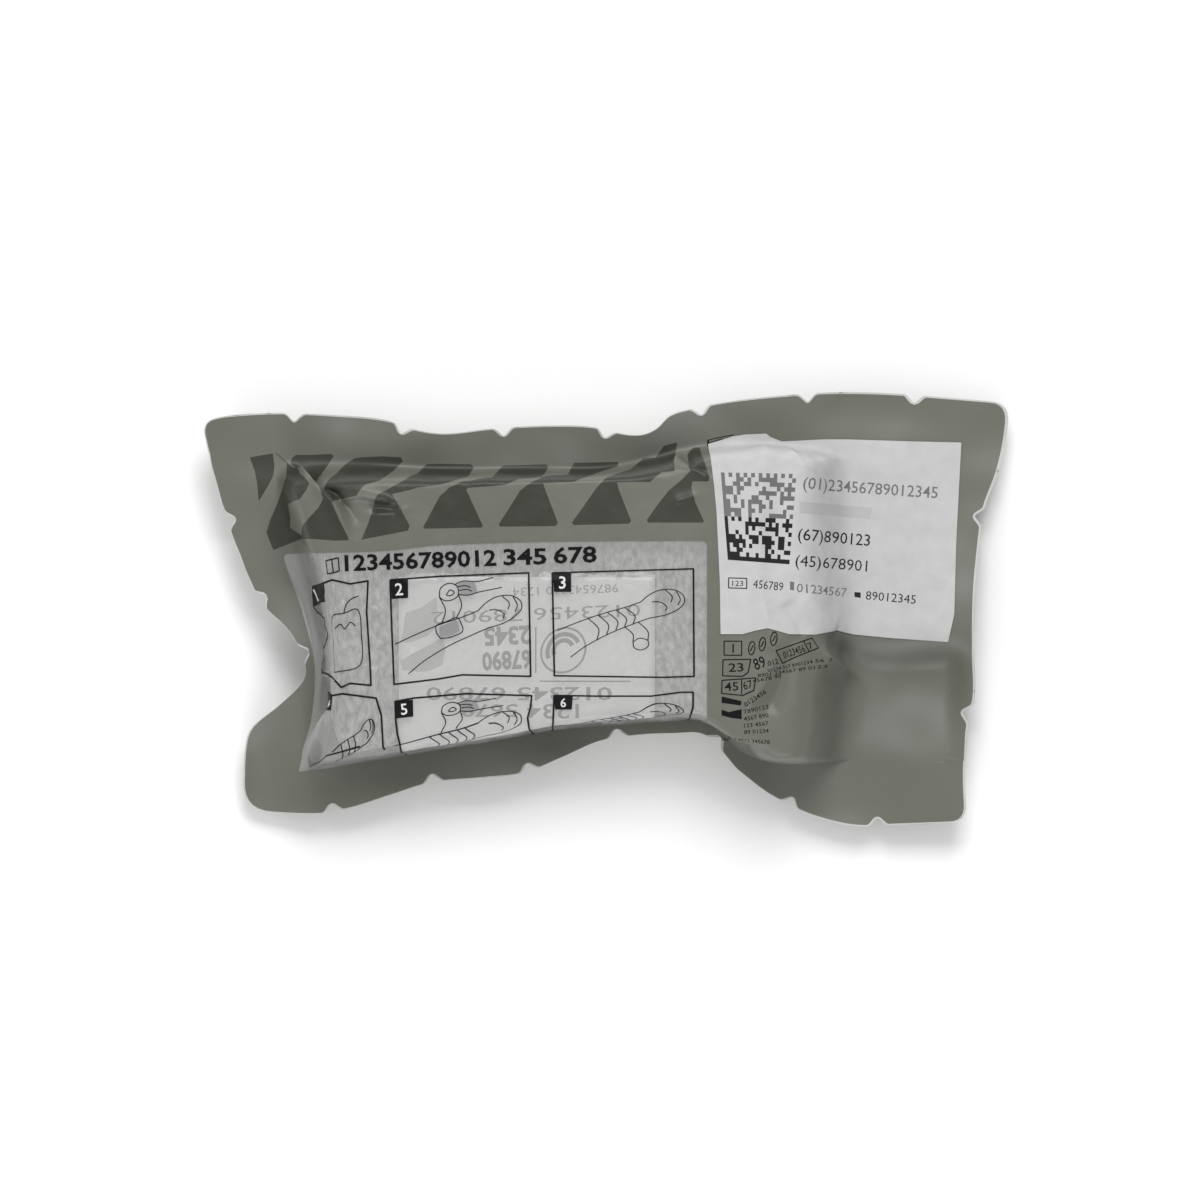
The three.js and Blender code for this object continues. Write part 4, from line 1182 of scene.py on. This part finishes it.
SQUARES = [
    [(311, 587.5), (324, 583), (323, 602), (312.5, 607)],
    [(391, 580.3), (409, 579.3), (409, 598), (391.8, 599)],
    [(553, 573), (571.3, 573), (571.3, 592), (554.3, 592)],
    [(326, 692), (334, 695), (333.3, 709.7), (327.2, 709.7)],
    [(396, 701), (413.8, 699), (414.2, 716), (397.3, 718)],
    [(554.3, 695.4), (573, 695.4), (572, 709), (555.2, 709)],
]
for number, square in enumerate(SQUARES, 1):
    window_print.px_area(square, INK)
    top_left, _, low_right, low_left = (np.array(corner) for corner in square)
    start, end = (corner + (top_left - low_left) * 0.18 for corner in (low_left, low_right))
    height = min(0.64 * np.linalg.norm(top_left - low_left), 1.1 * np.linalg.norm(low_right - low_left))
    px_number(window_print, str(number), start, end, height, WHITE, 0.012, natural=True)

# The steps' drawings, in shares of each frame from its south-west corner: an arm, its hand and the bandage
ARM_UPPER = [(0, 0.34), (0.16, 0.42), (0.34, 0.5), (0.5, 0.56), (0.62, 0.62)]
ARM_LOWER = [(0.1, 0.02), (0.22, 0.14), (0.4, 0.27), (0.56, 0.36), (0.69, 0.43)]
HAND = [
    [(0.62, 0.62), (0.68, 0.7), (0.76, 0.76), (0.86, 0.77), (0.93, 0.71), (0.94, 0.62), (0.89, 0.54),
     (0.8, 0.47), (0.69, 0.43)],
    [(0.8, 0.765), (0.85, 0.69), (0.84, 0.62)],
    [(0.88, 0.755), (0.91, 0.66), (0.89, 0.59)],
    [(0.7, 0.62), (0.76, 0.62), (0.81, 0.57), (0.8, 0.52)],
]
ARM = [ARM_UPPER, ARM_LOWER, *HAND]
PAD_ON_ARM = [[(0.34, 0.35), (0.42, 0.36), (0.5, 0.41), (0.49, 0.5), (0.46, 0.56), (0.38, 0.52), (0.31, 0.49),
               (0.31, 0.41), (0.34, 0.35)]]
TAIL_UP = [
    [(0.35, 0.51), (0.38, 0.64), (0.34, 0.78)],
    [(0.46, 0.56), (0.5, 0.68), (0.48, 0.8)],
    [(0.34, 0.78), (0.35, 0.87), (0.41, 0.92), (0.47, 0.89), (0.48, 0.8), (0.44, 0.75), (0.38, 0.74),
     (0.34, 0.78)],
    [(0.39, 0.8), (0.42, 0.85), (0.45, 0.82), (0.42, 0.79), (0.39, 0.8)],
]
HELPING_HAND = [
    [(0.45, 0.9), (0.52, 0.94), (0.62, 0.93), (0.74, 0.97)],
    [(0.48, 0.8), (0.55, 0.79), (0.64, 0.82), (0.8, 0.86)],
    [(0.48, 0.84), (0.54, 0.85), (0.58, 0.83)],
    [(0.47, 0.88), (0.53, 0.89), (0.57, 0.87)],
]
TAIL_DOWN = [
    [(0.5, 0.33), (0.56, 0.24), (0.56, 0.15)],
    [(0.6, 0.38), (0.67, 0.27), (0.67, 0.16)],
    [(0.56, 0.15), (0.57, 0.08), (0.62, 0.05), (0.67, 0.09), (0.67, 0.16), (0.61, 0.19), (0.56, 0.15)],
]
HELPING_HAND_SHADE = [(0.47, 0.895), (0.52, 0.94), (0.6, 0.93), (0.62, 0.82), (0.55, 0.79), (0.5, 0.8),
                      (0.5, 0.85)]
PAD_SHADE = [(0.33, 0.37), (0.42, 0.38), (0.48, 0.42), (0.47, 0.5), (0.45, 0.54), (0.39, 0.5), (0.33, 0.47)]
CLIP = [[(0.44, 0.4), (0.53, 0.44), (0.51, 0.5), (0.42, 0.46), (0.44, 0.4)], [(0.46, 0.43), (0.51, 0.455)]]
TORN_POUCH = [
    [(0.25, 0.12), (0.8, 0.16), (0.84, 0.5), (0.8, 0.8), (0.5, 0.78), (0.22, 0.74), (0.2, 0.4), (0.25, 0.12)],
    [(0.3, 0.62), (0.42, 0.66), (0.5, 0.6), (0.62, 0.67), (0.72, 0.62)],
    [(0.5, 0.78), (0.56, 0.88), (0.68, 0.94), (0.82, 0.96)],
]


def wraps(first, last, count):
    """Turns of bandage round the drawn arm, between two shares of its length."""
    found = []
    for t in np.linspace(first, last, count):
        upper = [np.interp(4 * t, range(5), [point[i] for point in ARM_UPPER]) for i in (0, 1)]
        lower = [np.interp(4 * t, range(5), [point[i] for point in ARM_LOWER]) for i in (0, 1)]
        middle = [(upper[0] + lower[0]) / 2 + 0.045, (upper[1] + lower[1]) / 2]
        found.append([upper, middle, lower])
    return found


# Each drawing's top corners in the photograph, and how far it reaches down the flat print
HELD = TAIL_UP + HELPING_HAND
DRAWINGS = [
    {"top": [(326, 596), (368, 592)], "drop": 19.0, "lines": TORN_POUCH},
    {"top": [(393, 580), (529, 574)], "drop": 22.0, "lines": ARM + PAD_ON_ARM + HELD,
     "shades": [HELPING_HAND_SHADE, PAD_SHADE]},
    {"top": [(556, 573), (692, 570)], "drop": 22.0, "lines": ARM + wraps(0.35, 0.75, 5) + TAIL_DOWN},
    {"top": [(338, 699), (380, 702)], "drop": 17.0, "lines": ARM + wraps(0.3, 0.7, 3)},
    {"top": [(398, 697), (531, 694)], "drop": 16.5, "lines": ARM + wraps(0.4, 0.8, 5) + HELD,
     "shades": [HELPING_HAND_SHADE]},
    {"top": [(556, 696), (691, 693)], "drop": 14.0, "lines": ARM + wraps(0.4, 0.9, 6) + CLIP},
]
LOWEST_LINE = ROW_MARKS[1] + 2.0


def in_frame(corners, drop, shares):
    """Shares of a frame as places in the flat print, below the frame's two top corners."""
    path = corners[0] + (corners[1] - corners[0]) * shares[:, :1]
    path[:, 1] -= drop * (1 - shares[:, 1])
    return path


for drawing in DRAWINGS:
    corners, drop = px_to_flat(drawing["top"]), drawing["drop"]
    for shade in drawing.get("shades", []):
        window_print.area(in_frame(corners, drop, np.array(shade)), SHADE)
    for line in drawing["lines"]:
        path = in_frame(corners, drop, smooth_path(line, 4))
        window_print.stroke(path[path[:, 1] > LOWEST_LINE], DRAW_LINE, INK)

# Frames 5 and 6 close on the window's south wall.
for frame_lines in FRAMES[4:]:
    left, right = px_to_flat([frame_lines[0][0], frame_lines[0][-1]])
    path = np.array([left, (left[0], LOWEST_LINE), (right[0], LOWEST_LINE), right])
    window_print.stroke(path, FRAME_LINE, INK)

# The heading's place holds plain numbers of its weight.
for text, start, end in (("123456789012", (346, 571), (497, 565.5)), ("345", (504, 565), (547, 564)),
                         ("678", (554, 563.5), (597, 562))):
    px_number(window_print, text, start, end, 15.5, INK, 0.025)
BOOKLET = [
    [(327, 561), (333, 559.5), (334.5, 573), (328.5, 574), (327, 561)],
    [(334.5, 573), (340.5, 571), (339.5, 558), (333, 559.5)],
]
for line in BOOKLET:
    window_print.px_stroke(line, 0.3, INK)

# The label's print
THERMAL, FADED, BLOCK = 1, 2, 3
label_print = Print()
CODE = {"modules": 20, "faded_rows": 10}
code_corners = np.array([(720.2, 473), (795.5, 474.5), (788.5, 564.5), (727.2, 560)])
random = np.random.default_rng(7)


def code_place(i, j):
    """A place in the square code: i modules from its west side, j from its north side."""
    across, down = i / CODE["modules"], j / CODE["modules"]
    top = code_corners[0] + (code_corners[1] - code_corners[0]) * across
    low = code_corners[3] + (code_corners[2] - code_corners[3]) * across
    return top + (low - top) * down


last = CODE["modules"] - 1
for j in range(CODE["modules"]):
    ink = FADED if j < CODE["faded_rows"] else THERMAL
    run_start = None
    for i in range(CODE["modules"] + 1):
        edge = i == 0 or j == last
        dotted = (j == 0 and i % 2 == 0) or (i == last and j % 2 == 1)
        inside = 0 < i < last and 0 < j < last and random.random() < 0.5
        dark = i <= last and (edge or dotted or inside)
        if dark and run_start is None:
            run_start = i
        if not dark and run_start is not None:
            label_print.px_area([code_place(run_start, j), code_place(i, j), code_place(i, j + 1),
                                 code_place(run_start, j + 1)], ink)
            run_start = None

px_number(label_print, "(01)23456789012345", (801.5, 489), (938.5, 498), 11.6, FADED, 0.004)
px_number(label_print, "(67)890123", (796.5, 540), (870.5, 546), 11.6, THERMAL, 0.004)
px_number(label_print, "(45)678901", (794, 566), (867.5, 571.5), 11.2, THERMAL, 0.0)
label_print.px_area([(798, 502), (873, 507.5), (871, 519), (799, 513.5)], BLOCK)
box = [(728, 578), (746, 578.5), (746, 588.5), (728, 588)]
label_print.px_stroke([*box, box[0], box[1]], 0.25, THERMAL)
px_number(label_print, "123", (731.5, 586), (742.5, 586.3), 5.5, THERMAL, 0.004)
px_number(label_print, "456789", (752, 588), (782, 591), 8.5, THERMAL, 0.0)
px_number(label_print, "01234567", (795, 592), (846, 597), 8.8, FADED, 0.004)
px_number(label_print, "89012345", (866, 599.5), (916.5, 604), 8.8, THERMAL, 0.0)
label_print.px_area([(789, 590), (793, 590.5), (793, 582), (789, 581.5)], FADED)
label_print.px_area([(854.5, 597), (861, 598), (861, 592.5), (854.5, 592)], THERMAL)


# The pieces of film

def film_piece(name, outline, holes, sheet, steps, side, lifts, materials, rim_slot):
    """A piece of the front (side 1) or back (side -1) over a flat outline, its two faces at the lifts."""
    flat, triangles, slots = triangulate(outline, holes, sheet, *steps)
    upper, lower = film_points(flat, side, lifts)
    if side < 0:
        upper, lower = lower, upper
    return shell_mesh(name, upper, lower, triangles, slots, rim_slot, materials)


front_film = film_piece(
    "front_film_skin", pouch_outline, [window_outline], film_print, (0.52, 1.4), 1, (0, -FILM),
    [film_finish, bar_finish, light_rim_colour, ink_finish], LIGHT_RIM)
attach(front_film, "root")
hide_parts("pouch_front_film")

back_film = film_piece(
    "back_film_skin", pouch_outline, [], Print(), (1.0, 1.4), -1, (0, -FILM), [back_finish, light_rim_colour], 1)
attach(back_film, "root")
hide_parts("pouch_back_film")

window_film = film_piece(
    "window_skin", window_outline, [], window_print, (0.55,), 1, (0, -FILM),
    [clear_finish, ink_finish, white_finish, shade_finish], 0)
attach(window_film, "root")
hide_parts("window_film")

LABEL_OUTLINE = [
    (708.4, 444), (733, 436), (746, 434), (766.5, 433), (771, 436.5), (782.5, 441), (823, 439), (849, 439),
    (910.5, 441), (962.5, 442), (957, 548), (955, 614), (949, 641.5), (893, 638), (854.5, 634.5), (835, 630),
    (814, 634.5), (788, 634), (767, 628), (754.5, 630.5), (742, 634), (720, 634), (719.3, 583), (716, 513),
    (713.5, 486),
]
label_outline = px_to_flat(dense_line([*LABEL_OUTLINE, LABEL_OUTLINE[0]], 3.0)[:-1])
paper_label = film_piece(
    "label_paper_sheet", label_outline, [], label_print, (0.5,), 1, (PAPER_GAP + PAPER, PAPER_GAP),
    [paper_finish, thermal_finish, faded_finish, block_finish], 0)
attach(paper_label, "root")
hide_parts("paper_label")


# The bandage roll: wound layers of crinkled elastic

def grid_mesh(name, rows, materials):
    """A closed mesh of rings of points, the first and last ring drawn together to a point each."""
    rings = np.array(rows)
    count, around = rings.shape[:2]
    faces = []
    for i in range(count - 1):
        for j in range(around):
            k = (j + 1) % around
            faces.append((i * around + j, i * around + k, (i + 1) * around + k, (i + 1) * around + j))
    first, final = count * around, count * around + 1
    for j in range(around):
        k = (j + 1) % around
        faces.append((j, first, k))
        faces.append(((count - 1) * around + k, final, (count - 1) * around + j))
    points = np.vstack([rings.reshape(-1, 3), rings[0].mean(0), rings[-1].mean(0)])
    return new_piece(name, points, faces, materials)


ROLL_MIDDLE_Z = (ROLL_TOP + ROLL_BOTTOM) / 2
ROLL_HALF_Z = (ROLL_TOP - ROLL_BOTTOM) / 2
ROLL_AROUND = 300
ROLL_STATIONS = 170
LEAST_CORNER = 0.05

# Between its ends the roll's skin is drawn in, so that its crinkles stay inside its size. It starts and ends
# at a margin, and draws in further there by a share of the end's rounding.
SKIN_MARGIN = 0.4
SKIN_IN = 0.2
CREPE_SUNK = 0.15
END_SHARE = 0.6

# The roll swells into the room beside it: shares of that room in the south and west, the radius of its south
# corners, the place past which the south swell stays level, and how far the west one runs back over its sides
SOUTH_SWELL = 0.5
WEST_SWELL = 0.42
SOUTH_CORNER = 2.7
SWELL_PAST = 0.24
SWELL_BACK = 8.0

# The elastic's crinkles, and the layers and grooves of its wound ends
CREPE = {"height": 0.4, "across": 1.7, "layer": 0.9, "groove": 0.3}
WOUND_DEPTH = ROLL_CORNER + 6
EAST_TAPER = 0.05


def swollen_south(u):
    """The roll's south side, swelling out into the room beside it."""
    return south_side(u) - SOUTH_SWELL * south_room(np.minimum(u, SWELL_PAST)) * ROOM


def roll_ring(x, shrink):
    """A rounded section of the roll at x, drawn in by shrink, with evenly spaced points."""
    south = swollen_south(x / HALF_LENGTH)
    north = north_side(min(x / HALF_LENGTH, STRAIGHT_PAST))
    half_y, half_z = (north - south) / 2 - shrink, ROLL_HALF_Z - shrink
    corners = [max(LEAST_CORNER, min(radius, half_z - LEAST_CORNER))
               for radius in (ROLL_CORNER, SOUTH_CORNER, SOUTH_CORNER, ROLL_CORNER)]
    outline = rounded_rectangle((-half_y, -half_z), (half_y, half_z), corners, 12)
    loop = np.vstack([outline, outline[:1]])
    length = np.concatenate([[0], np.cumsum(np.linalg.norm(loop[1:] - loop[:-1], axis=1))])
    places = np.linspace(0, length[-1], ROLL_AROUND, endpoint=False)
    y = np.interp(places, length, loop[:, 0])
    z = np.interp(places, length, loop[:, 1])
    return np.stack([np.full(ROLL_AROUND, x), y + (north + south) / 2, z + ROLL_MIDDLE_Z], -1)


def crepe(points):
    """Crinkles of the elastic weave, drawn out along its threads."""
    x, y = points[..., 0], points[..., 1] + points[..., 2]
    fine = waves(x * 1.5, y * 0.75, 61, CREPE["across"], 24)
    coarse = creased(x, y * 0.6, 62, 5.0)
    return CREPE["height"] * (0.6 * np.tanh(fine) + 0.8 * coarse)


def end_swell(ring):
    """How far the wound layers stand out of the roll's west end."""
    middle_y, half_y = (ring[:, 1].max() + ring[:, 1].min()) / 2, ROLL_WIDTH / 2
    up = np.clip(1 - ((ring[:, 2] - ROLL_MIDDLE_Z) / ROLL_HALF_Z) ** 2, 0, 1)
    across = np.clip(1 - ((ring[:, 1] - middle_y) / half_y) ** 4, 0, 1)
    return WEST_SWELL * west_room(ring[:, 1] / HALF_WIDTH) * ROOM * up * across


def groove_depth(shrink):
    """How deep a place of the roll's wound ends lies between two layers."""
    return CREPE["groove"] * (1 - np.cos(2 * np.pi * shrink / CREPE["layer"])) / 2


def side_ring(x):
    """A section between the roll's ends, rounded in towards them, with its crinkles."""
    edge = min(x - ROLL_WEST, ROLL_EAST - x)
    round_in = max(0.0, 1 - edge / ROLL_END_ROUND)
    ring = roll_ring(x, SKIN_IN + ROLL_END_ROUND * (1 - math.sqrt(max(0, 1 - round_in ** 2))) * END_SHARE)
    outward = ring - ring.mean(0)
    outward[:, 0] = 0
    outward /= np.linalg.norm(outward, axis=1)[:, None]
    ring = ring + outward * (crepe(ring) - CREPE_SUNK)[:, None]
    ring[:, 0] -= end_swell(ring) * max(0, 1 - (x - ROLL_WEST) / SWELL_BACK) ** 2
    return ring


def bandage_roll():
    rings = []
    ends = np.arange(WOUND_DEPTH, 0, -CREPE["layer"] / 3)
    for shrink in ends:
        ring = roll_ring(ROLL_WEST + groove_depth(shrink), shrink)
        ring[:, 0] -= end_swell(ring)
        rings.append(ring)
    stations = np.linspace(ROLL_WEST + SKIN_MARGIN, ROLL_EAST - SKIN_MARGIN, ROLL_STATIONS)
    rings += [side_ring(x) for x in stations]
    for shrink in ends[::-1]:
        rings.append(roll_ring(ROLL_EAST - groove_depth(shrink) - EAST_TAPER * shrink, shrink))
    elastic, shader = principled("elastic_bandage", grey(165, 1), 0.9)
    shader.inputs["Sheen Weight"].default_value = 0.15
    ramp(elastic, noise(elastic, 520, 5, (1.5, 0.8, 1)), [(0.34, grey(72, 1)), (0.66, grey(174, 1))],
         shader.inputs["Base Color"])
    bump(elastic, shader, noise(elastic, 1800, 3, (1.4, 0.8, 1)), 0.12)
    return grid_mesh("elastic_roll", rings, [elastic])


roll = bandage_roll()
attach(roll, "root")
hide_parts("bandage_roll")


# The dressing pad: white cloth over the roll, turned down over its south side

PAD_BEND = SOUTH_CORNER + CLEARANCE
PAD_TOP_START = PAD_TUCK + PAD_BEND * math.pi / 2


def pad_point(x, s, lift):
    """A place on the pad: s runs from its hidden south edge up round the bend to its north edge."""
    centre_z = PAD_BOTTOM - PAD_BEND
    radius = PAD_BEND + lift
    angle = np.clip((s - PAD_TUCK) / PAD_BEND, 0, np.pi / 2)
    y = pad_bend_y(x) - radius * np.cos(angle) + np.maximum(0, s - PAD_TOP_START)
    z = centre_z + radius * np.sin(angle) - np.maximum(0, PAD_TUCK - s)
    return np.stack([x, y, z], -1)


def pad_bend_y(x):
    """The y of the middle of the pad's bend over the roll's south side."""
    return swollen_south(x / HALF_LENGTH) - CLEARANCE + PAD_BEND


def pad_length(x):
    return PAD_TOP_START + PAD_NORTH_Y - pad_bend_y(x)


def px_to_pad(points):
    x, y = px_to_plan(points).T
    return np.stack([x, y - pad_bend_y(x) + PAD_TOP_START], -1)


# The cloth's thickness at its hem, its rounding there, the air under it, and its waves: height, seed and size
PAD_HEM = 0.15
PAD_ROUND = 1.2
PAD_AIR = 0.05
CLOTH_WAVES = [(0.05, 72, 4.0), (0.02, 73, 1.4)]

# The pad's slots: 1 its faint print, 2 the painted shade under a wrinkle of the clear film
FAINT, WRINKLE_SHADE = 1, 2

# Rows of plain numbers that face the pad's north side: text, east and west ends in pixels, height, weight
PAD_NUMBERS = [
    ("9876543210 1234", (618, 584), (513, 588), 8.5, 0.0),
    ("0123456 789012", (640, 604), (432, 612), 12.5, 0.0),
    ("2345", (531, 626), (484, 628), 17.5, 0.035),
    ("67890", (531, 650), (482, 653), 17.5, 0.035),
    ("012345 67890", (612, 687), (427, 687), 13.0, 0.012),
    ("1234 5678", (579, 704), (462, 704), 12.5, 0.012),
]
PAD_RING = {"middle": (563.5, 650), "radius": 5.2, "line": 0.5}
# Grey patches painted on the pad, in pixels: painted shade standing in for the shade under a wrinkle of the
# clear film
PAD_WRINKLE_SHADE = [
    [(406, 613), (421, 608), (437, 597), (438.5, 611), (437, 627), (428, 636), (412, 642), (402, 643)],
    [(401, 661), (412, 654), (430, 645), (444, 636), (446, 650), (443, 665), (426, 672), (404, 670)],
]


def dressing_pad():
    sheet = Print(px_to_pad)
    for outline in PAD_WRINKLE_SHADE:
        sheet.px_area(outline, WRINKLE_SHADE)
    for text, east, west, height, weight in PAD_NUMBERS:
        px_number(sheet, text, east, west, height, FAINT, weight)
    sheet.px_stroke([(536, 627), (536, 673)], 0.35, FAINT)
    sheet.px_stroke([(540, 681), (630, 681)], 0.35, FAINT)
    turn = np.linspace(0, 2 * np.pi, 33)
    circle = np.stack([np.cos(turn), np.sin(turn)], -1)
    ring_middle = px_to_pad([PAD_RING["middle"]])[0]
    sheet.stroke(ring_middle + PAD_RING["radius"] * circle, PAD_RING["line"], FAINT)
    for reach in (0.72, 0.44):
        half_ring = ring_middle + reach * PAD_RING["radius"] * circle[2:19]
        sheet.stroke(half_ring, 2 * PAD_RING["line"], FAINT)
    outline = [(x, 0.0) for x in np.linspace(PAD_WEST, PAD_EAST, 90)]
    outline += [(PAD_EAST, s) for s in np.linspace(0, pad_length(PAD_EAST), 60)[1:]]
    outline += [(x, pad_length(x)) for x in np.linspace(PAD_EAST, PAD_WEST, 90)[1:]]
    outline += [(PAD_WEST, s) for s in np.linspace(pad_length(PAD_WEST), 0, 60)[1:-1]]
    flat, triangles, slots = triangulate(np.array(outline), [], sheet, 0.7)
    x, s = flat.T
    margin = np.minimum(np.minimum(x - PAD_WEST, PAD_EAST - x), np.minimum(s, pad_length(x) - s))
    full = 1 - np.clip(1 - margin / PAD_ROUND, 0, 1) ** 2
    cloth_waves = sum(height * waves(x, s, seed, size) for height, seed, size in CLOTH_WAVES)
    upper = pad_point(x, s, PAD_HEM + (PAD_THICKNESS - (PAD_HEM + PAD_AIR)) * full + cloth_waves * full)
    lower = pad_point(x, s, np.full(len(x), PAD_AIR))
    cloth, shader = principled("pad_cloth", grey(214, 0), 0.85)
    shader.inputs["Sheen Weight"].default_value = 0.2
    ramp(cloth, noise(cloth, 500, 4), [(0.3, grey(200, 0)), (0.7, grey(212, 0))], shader.inputs["Base Color"])
    bump(cloth, shader, noise(cloth, 2200, 2), 0.05)
    faint = film_material("faint_print", grey(72), grey(62), 0.85, 0.2)
    # Painted shade: a grey cloth colour for the shade under a wrinkle of the clear film
    thin = film_material("painted_wrinkle_shade", grey(168), grey(158), 0.85, 0.2)
    return shell_mesh("dressing_pad_cloth", upper, lower, triangles, slots, 0, [cloth, faint, thin])


pad = dressing_pad()
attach(pad, "root")
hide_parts("dressing_pad")


# Floor, light and camera

FLOOR_SIZE = 3.0
FLOOR_DROP = 0.0001
bpy.ops.mesh.primitive_plane_add(size=FLOOR_SIZE, location=(0, 0, -FLOOR_DROP))
floor = bpy.context.object
floor.name = "floor"
floor_finish, floor_shader = principled("floor", (0.98, 0.98, 0.98), 0.9)
floor.data.materials.append(floor_finish)

world = bpy.data.worlds.new("studio")
bpy.context.scene.world = world
world.use_nodes = True
world.node_tree.nodes["Background"].inputs["Color"].default_value = (1, 1, 1, 1)
world.node_tree.nodes["Background"].inputs["Strength"].default_value = 0.5
bpy.context.scene.view_settings.view_transform = "Standard"


def area_light(name, location, size, energy):
    data = bpy.data.lights.new(name, "AREA")
    data.size = size
    data.energy = energy
    light = bpy.data.objects.new(name, data)
    light.location = location
    light.rotation_euler = Vector(location).to_track_quat("Z", "Y").to_euler()
    bpy.context.collection.objects.link(light)


area_light("softbox_north_east", (0.1, 0.62, 0.8), 0.5, 6.7)
area_light("softbox_south", (-0.1, -0.8, 0.45), 0.5, 3.2)
area_light("softbox_west", (-0.75, 0.25, 0.4), 0.4, 1.0)

CAMERA_HEIGHT = 2600.0
FOCUS_HEIGHT = 18.0
SENSOR = 36.0
camera_data = bpy.data.cameras.new("camera")
camera_data.sensor_width = SENSOR
camera_data.lens = SENSOR * (CAMERA_HEIGHT - FOCUS_HEIGHT) / (FRAME_PIXELS * PIXEL)
camera = bpy.data.objects.new("camera", camera_data)
frame_centre = px_to_plan([(FRAME_PIXELS / 2, FRAME_PIXELS / 2)])[0]
camera.location = Vector((*((frame_centre + SHIFT[:2]) * MM), CAMERA_HEIGHT * MM))
bpy.context.collection.objects.link(camera)
bpy.context.scene.camera = camera
